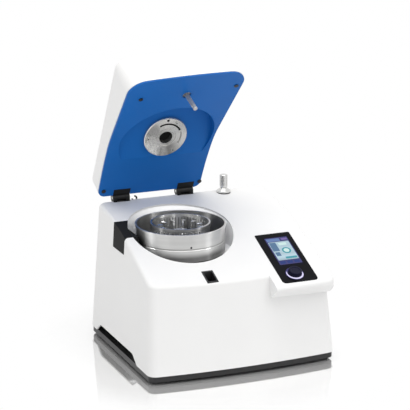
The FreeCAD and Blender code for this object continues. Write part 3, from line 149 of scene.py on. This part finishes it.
def turned_metal(name, colour, rough, centre=CHAMBER, tilt=0.0, aniso=0.5, metal=1.0,
                 painted_shade_within=None, painted_shade_foot=None):
    """Metal turned on a lathe: fine rings round a vertical axis, in the closed place of the lid.

    The last two arguments paint shade into the colour: a radius and the share of the colour left
    within it, a painted shade on the inner face;
    and two heights and the share left at the lower one, a painted shade that darkens towards the
    foot.
    """
    rings = 900
    mat, tree, bsdf = new_material(name)
    point = add(tree, "ShaderNodeTexCoord").outputs["Object"]
    if tilt:
        point = add(tree, "ShaderNodeVectorRotate",
                    {"Vector": point, "Center": HINGE, "Angle": tilt},
                    rotation_type="X_AXIS").outputs[0]
    offset = add(tree, "ShaderNodeVectorMath", {0: point, 1: centre},
                 operation="SUBTRACT").outputs[0]
    axes = add(tree, "ShaderNodeSeparateXYZ", {0: offset}).outputs
    squares = math_node(tree, "ADD", math_node(tree, "MULTIPLY", axes[0], axes[0]),
                        math_node(tree, "MULTIPLY", axes[1], axes[1]))
    radius = math_node(tree, "SQRT", squares)
    ring_point = add(tree, "ShaderNodeCombineXYZ", {0: radius, 2: axes[2]}).outputs[0]
    rings_out = noise(tree, ring_point, rings, 2.0, 0.5)
    broad = noise(tree, ring_point, rings / 10, 2.0)
    smear = noise(tree, place(tree), 9.0, 2.0)
    tint = ramp(tree, broad, drift_stops(colour, 0.06))
    # Painted shade: darker within the radius and darker towards the lower height
    if painted_shade_within:
        share = math_node(tree, "LESS_THAN", radius, painted_shade_within[0])
        level = add(tree, "ShaderNodeMapRange", {0: share, 3: 1.0, 4: painted_shade_within[1]}).outputs[0]
        low = add(tree, "ShaderNodeMapRange",
                  {0: axes[2], 1: painted_shade_foot[0], 2: painted_shade_foot[1], 3: painted_shade_foot[2], 4: 1.0}).outputs[0]
        level = math_node(tree, "MULTIPLY", level, low)
        tint = add(tree, "ShaderNodeVectorMath", {0: tint, "Scale": level},
                   operation="SCALE").outputs[0]
    tree.links.new(tint, bsdf.inputs["Base Color"])
    tree.links.new(span(tree, smear, rough - 0.03, rough + 0.05), bsdf.inputs["Roughness"])
    tree.links.new(bump(tree, rings_out, 0.05, TOOL_MARK_DEPTH), bsdf.inputs["Normal"])
    bsdf.inputs["Metallic"].default_value = metal
    bsdf.inputs["Anisotropic"].default_value = aniso
    bsdf.inputs["Anisotropic Rotation"].default_value = 0.25
    round_axis = add(tree, "ShaderNodeCombineXYZ",
                     {0: math_node(tree, "MULTIPLY", axes[1], -1.0), 1: axes[0]}).outputs[0]
    if tilt:
        round_axis = add(tree, "ShaderNodeVectorRotate", {"Vector": round_axis, "Angle": -tilt},
                         rotation_type="X_AXIS").outputs[0]
    tangent = add(tree, "ShaderNodeVectorTransform", {0: round_axis}, vector_type="NORMAL",
                  convert_from="OBJECT", convert_to="WORLD").outputs[0]
    tree.links.new(tangent, bsdf.inputs["Tangent"])
    return mat


def ground_metal(name, colour, rough, scale=(1, 1, 8), grain=500, strength=0.06):
    """Ground or brushed metal: streaks along one direction, and a slow change of tone."""
    mat, tree, bsdf = new_material(name)
    streak = noise(tree, place(tree, scale), grain, 2.0, 0.5)
    stain = noise(tree, place(tree), 14.0, 2.0)
    tint = ramp(tree, stain, drift_stops(colour, 0.05))
    tree.links.new(tint, bsdf.inputs["Base Color"])
    tree.links.new(span(tree, streak, rough - 0.04, rough + 0.05), bsdf.inputs["Roughness"])
    tree.links.new(bump(tree, streak, strength, TOOL_MARK_DEPTH), bsdf.inputs["Normal"])
    bsdf.inputs["Metallic"].default_value = 1.0
    return mat


def glowing(name, colour, rough=0.12, drift=0.1):
    """A lit area behind glass, whose tone drifts a little."""
    mat, tree, bsdf = new_material(name)
    slow = noise(tree, place(tree, (0, 18, 0)), 3.0, 2.0)
    tint = ramp(tree, slow, drift_stops(colour, drift))
    ground = ramp(tree, slow, drift_stops(shade(colour, 0.12), drift))
    tree.links.new(ground, bsdf.inputs["Base Color"])
    tree.links.new(tint, bsdf.inputs["Emission Color"])
    bsdf.inputs["Emission Strength"].default_value = 1.0
    bsdf.inputs["Roughness"].default_value = rough
    bsdf.inputs["Specular IOR Level"].default_value = 0.06
    return mat


def dress(mat, *names):
    for name in names:
        slots = nodes[name].data.materials
        slots.clear()
        slots.append(mat)


# Mesh helpers

def mesh_object(name, bm, mat, body, smooth=False):
    """A piece from a bmesh, riding on a body."""
    bmesh.ops.recalc_face_normals(bm, faces=bm.faces)
    mesh = bpy.data.meshes.new(name)
    bm.to_mesh(mesh)
    bm.free()
    made = bpy.data.objects.new(name, mesh)
    bpy.context.scene.collection.objects.link(made)
    mesh.materials.append(mat)
    if smooth:
        for face in mesh.polygons:
            face.use_smooth = True
        weighted = made.modifiers.new("normals", "WEIGHTED_NORMAL")
        weighted.keep_sharp = True
    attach(made, body)


def rounded(width, height, radius, centre=(0, 0), steps=5):
    """Points of a rectangle with rounded corners."""
    points = []
    for sx, sy, start in ((1, 1, 0), (-1, 1, 90), (-1, -1, 180), (1, -1, 270)):
        cx = centre[0] + sx * (width / 2 - radius)
        cy = centre[1] + sy * (height / 2 - radius)
        for i in range(steps + 1):
            angle = math.radians(start + 90 * i / steps)
            points.append((cx + radius * math.cos(angle), cy + radius * math.sin(angle)))
    return points


def ring_points(radius, count, centre=(0, 0)):
    """Points of a regular polygon or a fine circle."""
    angles = [2 * math.pi * i / count for i in range(count)]
    return [(centre[0] + radius * math.cos(a), centre[1] + radius * math.sin(a)) for a in angles]


def prism(bm, outline, low, high, matrix):
    """An outline lifted from low to high in a local frame."""
    bottom = [bm.verts.new(matrix @ Vector((x, y, low))) for x, y in outline]
    top = [bm.verts.new(matrix @ Vector((x, y, high))) for x, y in outline]
    bm.faces.new(list(reversed(bottom)))
    bm.faces.new(top)
    for i in range(len(outline)):
        j = (i + 1) % len(outline)
        bm.faces.new((bottom[i], bottom[j], top[j], top[i]))


def lathe(bm, profile, matrix, steps):
    """An open profile of (radius, height) points turned about the local Z axis."""
    rows = []
    for r, z in profile:
        rows.append([bm.verts.new(matrix @ Vector((r * math.cos(a), r * math.sin(a), z)))
                     for a in (2 * math.pi * i / steps for i in range(steps))])
    for low, high in zip(rows, rows[1:]):
        for i in range(steps):
            j = (i + 1) % steps
            bm.faces.new((low[i], low[j], high[j], high[i]))


# Local frames: the display's face, the closed lid's frame as it stands open, and the rear panel
bezel_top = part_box("display_bezel")[1][2]
panel_z = (bezel_top - BEZEL_HALF * math.sin(PANEL_ANGLE)
           - BEZEL_PROUD * math.cos(PANEL_ANGLE))
PANEL = Matrix.Translation((*PANEL_XY, panel_z)) @ Matrix.Rotation(PANEL_ANGLE, 4, "X")
LID = (Matrix.Translation(HINGE) @ Matrix.Rotation(-LID_ANGLE, 4, "X")
       @ Matrix.Translation(-HINGE))
REAR = (Matrix.Translation(REAR_PLACE) @ Matrix.Rotation(math.pi, 4, "Z")
        @ Matrix.Rotation(math.pi / 2 - REAR_ANGLE, 4, "X"))
rear_inverse = REAR.inverted()
REAR_FACE = max((rear_inverse @ v.co).z for v in nodes["rear_panel"].data.vertices)


# Materials of the model's own pieces

WHITE = (0.801, 0.80, 0.797)
dress(moulded("white_plastic", WHITE, rough=0.46, grain=900, strength=0.12, spread=0.012,
              specular=0.25), "housing")
dress(moulded("white_lid", WHITE, rough=0.34, grain=900, strength=0.12, spread=0.012,
              specular=0.45), "lid_shell")
dress(moulded("blue_liner", (0.007, 0.118, 0.42), rough=0.42, grain=1100, strength=0.2,
              spread=0.05, specular=0.15), "lid_liner")
dress(moulded("black_plastic", (0.012, 0.012, 0.013), rough=0.42, grain=1400, strength=0.4,
              spread=0.2, specular=0.4), "base_tray", "tool_holder", "latch_socket",
      "latch_actuator")
dress(moulded("cover_black", (0.011, 0.011, 0.011), rough=0.6, grain=1400, strength=0.4,
              spread=0.2, specular=0.1), "passage_cover")
dress(moulded("hinge_black", (0.006, 0.006, 0.006), rough=0.42, grain=1800, strength=0.35,
              spread=0.25, specular=0.25), "hinge_brackets", "hinge_leaves", "lid_stop_hook")
dress(moulded("rubber", (0.018, 0.018, 0.018), rough=0.75, grain=1600, strength=0.5, spread=0.2,
              specular=0.3), "feet", "chamber_seal", "shaft_seal")
dress(moulded("fan_black", (0.02, 0.02, 0.021), rough=0.5, grain=1500, strength=0.3, spread=0.2),
      "cooling_impeller", "fan_frame", "fan_impeller", "power_inlet", "fuse_drawer",
      "switch_frame", "switch_rocker")
dress(moulded("plug_black", (0.004, 0.004, 0.004), rough=0.5, grain=1200, strength=0.3,
              spread=0.25, specular=0.1), "feed_plug")
# Whiter than the housing: partly the tub's own white, partly painted light that lifts the shaded
# wall of the recess
dress(moulded("tub_white_painted_light", (0.92, 0.92, 0.92), rough=0.36, grain=700, spread=0.02, strength=0.1,
              specular=0.5), "chamber_tub")
# The pan's inner face and the foot of its wall get painted shade
dress(turned_metal("pan_metal", (0.56, 0.56, 0.555), rough=0.31, aniso=0.9,
                   painted_shade_within=(PAN_INSIDE, 0.7), painted_shade_foot=(0.224, 0.236, 0.3)), "collecting_pan")
dress(turned_metal("sieve_metal", (0.52, 0.52, 0.517), rough=0.29, aniso=0.9), "ring_sieve")
dress(ground_metal("rotor_metal", (0.85, 0.85, 0.845), rough=0.24), "toothed_rotor")
dress(turned_metal("hub_metal", (0.5, 0.5, 0.5), rough=0.3), "drive_hub", "motor_shaft",
      "magnet_core", "bearing_inner_rings", "bearing_outer_rings", "bearing_balls")
dress(turned_metal("disc_metal", (0.66, 0.655, 0.64), rough=0.22, tilt=LID_ANGLE, aniso=0.8),
      "labyrinth_disc", "feed_tube")
dress(turned_metal("pin_metal", (0.46, 0.455, 0.45), rough=0.36, tilt=LID_ANGLE, metal=0.6,
                   centre=LATCH_PIN), "latch_pin")
dress(turned_metal("tool_metal", (0.66, 0.66, 0.65), rough=0.2, centre=TOOL), "rotor_tool")
dress(ground_metal("screw_metal", (0.55, 0.55, 0.54), rough=0.25), "tub_screws", "disc_screws",
      "panel_screws", "hinge_pins", "latch_catch")
dress(ground_metal("screw_black", (0.05, 0.05, 0.055), rough=0.35), "liner_screws")
dress(ground_metal("cast_aluminium", (0.6, 0.6, 0.6), rough=0.42, scale=(1, 1, 1), grain=1200,
                   strength=0.3), "motor_plate", "motor_casing", "motor_end_bell", "lid_frame",
      "power_converter", "motor_posts", "motor_stator")
dress(moulded("bezel_gloss", (0.006, 0.006, 0.008), rough=0.16, grain=300, strength=0.03,
              spread=0.2, specular=0.05), "display_bezel")
dress(moulded("screen_glass", (0.006, 0.006, 0.014), rough=0.12, grain=200, strength=0.02,
              spread=0.2, specular=0.05), "touch_screen")
dress(glowing("ring_light", (0.05, 0.045, 0.15), rough=0.3), "knob_ring")
dress(moulded("knob_dark", (0.008, 0.008, 0.026), rough=0.3, grain=1200, strength=0.2,
              spread=0.2, specular=0.1), "control_knob", "knob_plunger")
dress(moulded("board_green", (0.015, 0.1, 0.045), rough=0.4, grain=500, strength=0.3,
              spread=0.3), "control_board", "knob_encoder")
dress(moulded("panel_paint", (0.6, 0.605, 0.61), rough=0.45, grain=1000, strength=0.4,
              spread=0.03), "rear_panel")

# Near black: painted shade for hollows (screw sockets, the disc's slot and hole, the pan's small
# hole), and the print of the rating plate's rows
dark = moulded("painted_shade_and_print", (0.004, 0.004, 0.004), rough=0.6, grain=900, strength=0.25,
               spread=0.2, specular=0.2)


# The picture on the touch screen, in layers a hair apart

SCREEN_CENTRE = (0.0025, 0.0215)
SCREEN_SIZE = (0.0505, 0.088)
GLASS_TOP = BEZEL_PROUD
FIELD = 0.00006
LAYERS = (0.00002, 0.00012, 0.00022, 0.00032)
GAUGE = (0.64, 0.5)
GAUGE_RADII = (0.0062, 0.0098)


def screen_piece(name, layer, mat, shapes):
    """Flat shapes of the screen's picture in one layer above the glass."""
    bm = bmesh.new()
    low = GLASS_TOP + LAYERS[layer]
    for outline in shapes:
        prism(bm, outline, low, low + FIELD, PANEL)
    mesh_object(name, bm, mat, "base")


def on_screen(x0, x1, y0, y1, radius=0.0008):
    """A rectangle given in shares of the screen's width and height, from its lower left corner."""
    w, h = SCREEN_SIZE
    cx = SCREEN_CENTRE[0] + (x0 + x1 - 1) / 2 * w
    cy = SCREEN_CENTRE[1] + (y0 + y1 - 1) / 2 * h
    return rounded((x1 - x0) * w, (y1 - y0) * h, radius, (cx, cy), 3)


def gauge_disc(radius):
    cx = SCREEN_CENTRE[0] + (GAUGE[0] - 0.5) * SCREEN_SIZE[0]
    cy = SCREEN_CENTRE[1] + (GAUGE[1] - 0.5) * SCREEN_SIZE[1]
    return ring_points(radius, 24, (cx, cy))


screen_piece("screen_ground", 0, glowing("screen_violet", (0.06, 0.06, 0.18)),
             [on_screen(0, 1, 0, 1, 0.0015)])
screen_piece("screen_title", 1, glowing("screen_blue", (0.13, 0.20, 0.40)),
             [on_screen(0.04, 0.62, 0.86, 0.97)])
screen_piece("screen_title_mark", 1, glowing("screen_lilac", (0.18, 0.13, 0.34)),
             [on_screen(0.7, 0.96, 0.89, 0.96)])
screen_piece("screen_card", 1, glowing("screen_white", (0.40, 0.53, 0.60), drift=0.2),
             [on_screen(0.05, 0.96, 0.16, 0.84, 0.0015)])
screen_piece("screen_side", 2, glowing("screen_grey", (0.10, 0.18, 0.30)),
             [on_screen(0.07, 0.36, 0.5, 0.82), on_screen(0.1, 0.3, 0.32, 0.46)])
screen_piece("screen_gauge", 2, glowing("screen_teal", (0.07, 0.30, 0.36)),
             [gauge_disc(GAUGE_RADII[1]), on_screen(0.42, 0.92, 0.2, 0.27)])
screen_piece("screen_gauge_core", 3, glowing("screen_pale", (0.55, 0.72, 0.70)),
             [gauge_disc(GAUGE_RADII[0]), on_screen(0.46, 0.8, 0.7, 0.79)])
screen_piece("screen_keys", 1, glowing("screen_key", (0.03, 0.05, 0.19)),
             [on_screen(0.06 + 0.31 * i, 0.3 + 0.31 * i, 0.03, 0.12) for i in range(3)])


# The lit part of the ring round the knob, and the grip ribs on the knob

GLOW_RADIUS = 0.0168
GLOW_HALF = 0.0021
GLOW_HEIGHT = 0.00204
GLOW_TURN = (math.radians(150), math.radians(375))
RIB_COUNT = 36
RIB_RADII = (0.01345, 0.01405)
RIB_HALVES = (0.0005, 0.0003)
RIB_HEIGHTS = (0.0031, 0.0091)


def ring_glow():
    """The lower left part of the ring, which shines brightest and thins out to its ends."""
    bm = bmesh.new()
    count = 48
    low, high = GLOW_TURN
    outer, inner = [], []
    for i in range(count + 1):
        share = i / count
        angle = low + (high - low) * share
        half = GLOW_HALF * math.sin(math.pi * share) ** 0.6
        for radius, points in ((GLOW_RADIUS + half, outer), (GLOW_RADIUS - half, inner)):
            points.append((KNOB[0] + radius * math.cos(angle), KNOB[1] + radius * math.sin(angle)))
    rows = [[bm.verts.new(PANEL @ Vector((x, y, GLOW_HEIGHT))) for x, y in points]
            for points in (outer, inner)]
    for i in range(count):
        bm.faces.new((rows[0][i], rows[0][i + 1], rows[1][i + 1], rows[1][i]))
    bmesh.ops.remove_doubles(bm, verts=bm.verts, dist=1e-6)
    mesh_object("ring_glow", bm, glowing("ring_bright", (0.72, 0.68, 0.95)), "base")


def knob_grip():
    """Fine upright ribs round the knob."""
    bm = bmesh.new()
    (near, far), (wide, narrow) = RIB_RADII, RIB_HALVES
    outline = [(near, -wide), (far, -narrow), (far, narrow), (near, wide)]
    for i in range(RIB_COUNT):
        turn = Matrix.Rotation(2 * math.pi * i / RIB_COUNT, 4, "Z")
        prism(bm, outline, *RIB_HEIGHTS, PANEL @ Matrix.Translation((*KNOB, 0)) @ turn)
    mesh_object("knob_grip", bm, nodes["control_knob"].data.materials[0], "knob")


ring_glow()
knob_grip()


# Painted shade: dark hexagons for the hollow sockets in the screw heads

SOCKET_PROUD = 0.00003
SOCKET_SUNK = 0.0001
SAME_SCREW = 0.012


def screw_heads(node, matrix, facing):
    """The middle of each screw head's face in a local frame, found from the node's own mesh."""
    inverse = matrix.inverted()
    groups = []
    for vertex in nodes[node].data.vertices:
        point = inverse @ (nodes[node].matrix_world @ vertex.co)
        for group in groups:
            if (group[0].xy - point.xy).length < SAME_SCREW:
                group.append(point)
                break
        else:
            groups.append([point])
    heads = []
    for group in groups:
        low = [min(p[i] for p in group) for i in range(3)]
        high = [max(p[i] for p in group) for i in range(3)]
        face = high[2] if facing > 0 else low[2]
        heads.append(((low[0] + high[0]) / 2, (low[1] + high[1]) / 2, face))
    return heads


def socket_marks(node, matrix, facing, size, body):
    """Painted shade: dark hexagons for the hollow sockets in the heads of one node's screws."""
    bm = bmesh.new()
    for x, y, face in screw_heads(node, matrix, facing):
        at = matrix @ Matrix.Translation((x, y, face))
        ends = sorted((facing * SOCKET_PROUD, -facing * SOCKET_SUNK))
        prism(bm, ring_points(size, 6), *ends, at)
    mesh_object(node + "_socket_shade", bm, dark, body)


socket_marks("disc_screws", LID, -1, 0.0015, "lid")
socket_marks("tub_screws", Matrix.Identity(4), 1, 0.0021, "base")
socket_marks("panel_screws", REAR, 1, 0.0015, "base")


# Painted shade: dark floors in the disc's curved slot and in its hole, and a dark disc for the
# small hole in the pan's wall

SLOT_TURN = (-119, 95)
SLOT_DARK = 0.0012
HOLE_DARK = 0.0027
DOT_HEIGHT = 0.2471
DOT_TURN = math.radians(-98)
DOT_REACH = 0.0931
DOT_RADIUS = 0.0021
DOT_DEPTHS = (-0.0004, 0.0001)


def slot_shade():
    """Painted shade: dark floors in the disc's slot and in its hole."""
    bm = bmesh.new()
    at = LID @ Matrix.Translation(CHAMBER)
    count = 30
    near, far = SLOT_RADII
    start, turn = SLOT_TURN
    angles = [math.radians(start + turn * i / count) for i in range(count + 1)]
    outline = [(far * math.cos(a), far * math.sin(a)) for a in angles]
    outline += [(near * math.cos(a), near * math.sin(a)) for a in reversed(angles)]
    prism(bm, outline, SLOT_FLOOR - SLOT_DARK, SLOT_FLOOR, at)
    hole_radius, hole_y = DISC_HOLE
    prism(bm, ring_points(hole_radius, 20, (0, hole_y)), SLOT_FLOOR - HOLE_DARK, SLOT_FLOOR, at)
    mesh_object("slot_shade", bm, dark, "lid")


def pan_hole_shade():
    """Painted shade: a round dark disc a hair proud of the pan's outer wall, standing for a small
    hole.
    """
    bm = bmesh.new()
    at = (Matrix.Translation(CHAMBER + Vector((0, 0, DOT_HEIGHT)))
          @ Matrix.Rotation(DOT_TURN, 4, "Z") @ Matrix.Translation((DOT_REACH, 0, 0))
          @ Matrix.Rotation(math.pi / 2, 4, "Y"))
    prism(bm, ring_points(DOT_RADIUS, 20), *DOT_DEPTHS, at)
    mesh_object("pan_hole_shade", bm, dark, "pan")


slot_shade()
pan_hole_shade()


# A bare rating plate at the rear, with its rivets and plain fields

PLATE_MIDDLE = (-0.082, -0.058)
PLATE_SIZE = (0.078, 0.036)
PLATE_CORNER = 0.002
PLATE_THICK = 0.0006
RIVET_INSET = 0.0035
RIVET_PROFILE = [(0.00001, 0.0007), (0.0007, 0.0006), (0.0012, 0.0)]
ROW_WIDTH = 0.058
ROW_SHORTER = 0.009
ROW_HEIGHT = 0.0022
ROW_STEP = 0.0055
ROW_THICK = 0.00008


def rating_plate():
    """The plate in the middle of its place on the rear panel, four rivets and five plain rows."""
    at = REAR @ Matrix.Translation((*PLATE_MIDDLE, REAR_FACE))
    bm = bmesh.new()
    prism(bm, rounded(*PLATE_SIZE, PLATE_CORNER), 0.0, PLATE_THICK, at)
    metal = ground_metal("plate_metal", (0.5, 0.5, 0.51), rough=0.4, scale=(8, 1, 1))
    mesh_object("rating_plate", bm, metal, "base")
    bm = bmesh.new()
    for sx in (-1, 1):
        for sy in (-1, 1):
            x, y = sx * (PLATE_SIZE[0] / 2 - RIVET_INSET), sy * (PLATE_SIZE[1] / 2 - RIVET_INSET)
            lathe(bm, RIVET_PROFILE, at @ Matrix.Translation((x, y, PLATE_THICK)), 16)
    mesh_object("plate_rivets", bm, nodes["panel_screws"].data.materials[0], "base", smooth=True)
    bm = bmesh.new()
    for row in range(5):
        width = ROW_WIDTH - ROW_SHORTER * (row % 3)
        middle = ((width - ROW_WIDTH) / 2, ROW_STEP * (2 - row))
        prism(bm, rounded(width, ROW_HEIGHT, PLATE_THICK, middle), PLATE_THICK,
              PLATE_THICK + ROW_THICK, at)
    mesh_object("plate_fields", bm, dark, "base")


rating_plate()


# Camera at the photograph's viewing angle

AZIMUTH = math.radians(-22.565)
ELEVATION = math.radians(17.873)
DISTANCE = 4.2
VIEW_POINT = Vector((0.0, -0.008, 0.150))
AIM = Vector((-0.008, 0.0, 0.306))
back = Vector((math.sin(AZIMUTH) * math.cos(ELEVATION), -math.cos(AZIMUTH) * math.cos(ELEVATION),
               math.sin(ELEVATION)))
camera_data = bpy.data.cameras.new("camera")
camera_data.sensor_width = 36
camera_data.lens = 176
camera = bpy.data.objects.new("camera", camera_data)
camera.location = VIEW_POINT + back * DISTANCE
camera.rotation_euler = (AIM - camera.location).to_track_quat("-Z", "Y").to_euler()
bpy.context.scene.collection.objects.link(camera)
bpy.context.scene.camera = camera


# Floor, light and background

FLOOR_REACH = 12
FLOOR_GLOSS = 0.74
FLOOR_FADE = (0.30, 0.42)


def floor():
    """A glossy white floor under the part, which goes over into the plain background."""
    bm = bmesh.new()
    for sx, sy in ((-1, -1), (1, -1), (1, 1), (-1, 1)):
        bm.verts.new((sx * FLOOR_REACH, sy * FLOOR_REACH, 0))
    bm.faces.new(bm.verts)
    mesh = bpy.data.meshes.new("floor")
    bm.to_mesh(mesh)
    bm.free()
    made = bpy.data.objects.new("floor", mesh)
    bpy.context.scene.collection.objects.link(made)
    mat = bpy.data.materials.new("floor_white")
    mat.use_nodes = True
    tree = mat.node_tree
    tree.nodes.remove(tree.nodes["Principled BSDF"])
    diffuse = add(tree, "ShaderNodeBsdfDiffuse", {"Color": (0.93, 0.93, 0.93, 1)})
    gloss = add(tree, "ShaderNodeBsdfGlossy", {"Color": (1, 1, 1, 1), "Roughness": 0.06})
    mix = add(tree, "ShaderNodeMixShader",
              {0: FLOOR_GLOSS, 1: diffuse.outputs[0], 2: gloss.outputs[0]})
    coord = add(tree, "ShaderNodeTexCoord").outputs["Object"]
    far = add(tree, "ShaderNodeVectorMath", {0: coord}, operation="LENGTH").outputs["Value"]
    fade = add(tree, "ShaderNodeMapRange",
               {0: far, 1: FLOOR_FADE[0], 2: FLOOR_FADE[1], 3: 0.0, 4: 1.0},
               interpolation_type="SMOOTHSTEP").outputs[0]
    white_out = add(tree, "ShaderNodeEmission", {"Color": (1, 1, 1, 1), "Strength": 1.0})
    both = add(tree, "ShaderNodeMixShader", {0: fade, 1: mix.outputs[0], 2: white_out.outputs[0]})
    tree.links.new(both.outputs[0], tree.nodes["Material Output"].inputs["Surface"])
    mesh.materials.append(mat)


floor()


def area(name, position, aim, size, power, lit=(), colour=(1, 1, 1)):
    """A soft lamp; one with a list of pieces lights only those."""
    data = bpy.data.lights.new(name, "AREA")
    data.shape = "RECTANGLE"
    data.size, data.size_y = size
    data.energy = power
    data.color = colour
    made = bpy.data.objects.new(name, data)
    made.location = position
    made.rotation_euler = (Vector(aim) - Vector(position)).to_track_quat("-Z", "Y").to_euler()
    bpy.context.scene.collection.objects.link(made)
    if lit:
        group = bpy.data.collections.new(name + "_lit")
        for piece in lit:
            group.objects.link(nodes[piece])
        made.light_linking.receiver_collection = group


MIDDLE = (0, 0, 0.2)
BOWL = (-0.06, 0, 0.28)
BAR_SIZE = (0.12, 0.7)
BAR_POWER = 13
STEEL = ("collecting_pan", "ring_sieve", "toothed_rotor")
area("key", (1.2, -2.0, 2.6), MIDDLE, (1.8, 1.8), 30)
area("top", (-0.2, -0.2, 2.8), MIDDLE, (2.0, 2.0), 37, colour=(1, 0.99, 0.97))
area("left", (-2.6, -1.2, 1.2), (0, 0, 0.25), (1.6, 1.6), 6)
# Narrow lamps for the bright bars on the turned metal, and one for the wall of the recess
area("bar_right", (1.28, -0.86, 1.1), BOWL, BAR_SIZE, BAR_POWER, STEEL)
area("bar_left", (-1.62, 0.35, 1.1), BOWL, BAR_SIZE, BAR_POWER, STEEL)
area("recess", (-0.9, -1.3, 1.5), BOWL, (1.0, 1.0), 30, ("chamber_tub",))

# A white background, which lights matt surfaces less than it shows in glossy ones
MATT_LEVEL = 0.64
world = bpy.data.worlds.new("world")
bpy.context.scene.world = world
world.use_nodes = True
wtree = world.node_tree
background = wtree.nodes["Background"]
path = add(wtree, "ShaderNodeLightPath").outputs
seen = math_node(wtree, "MAXIMUM", path["Is Camera Ray"],
                 math_node(wtree, "MAXIMUM", path["Is Glossy Ray"], path["Is Transmission Ray"]))
level = add(wtree, "ShaderNodeMapRange",
            {0: seen, 1: 0.0, 2: 1.0, 3: MATT_LEVEL, 4: 1.0}).outputs[0]
background.inputs["Color"].default_value = (1, 1, 1, 1)
wtree.links.new(level, background.inputs["Strength"])

bpy.context.scene.view_settings.view_transform = "Standard"
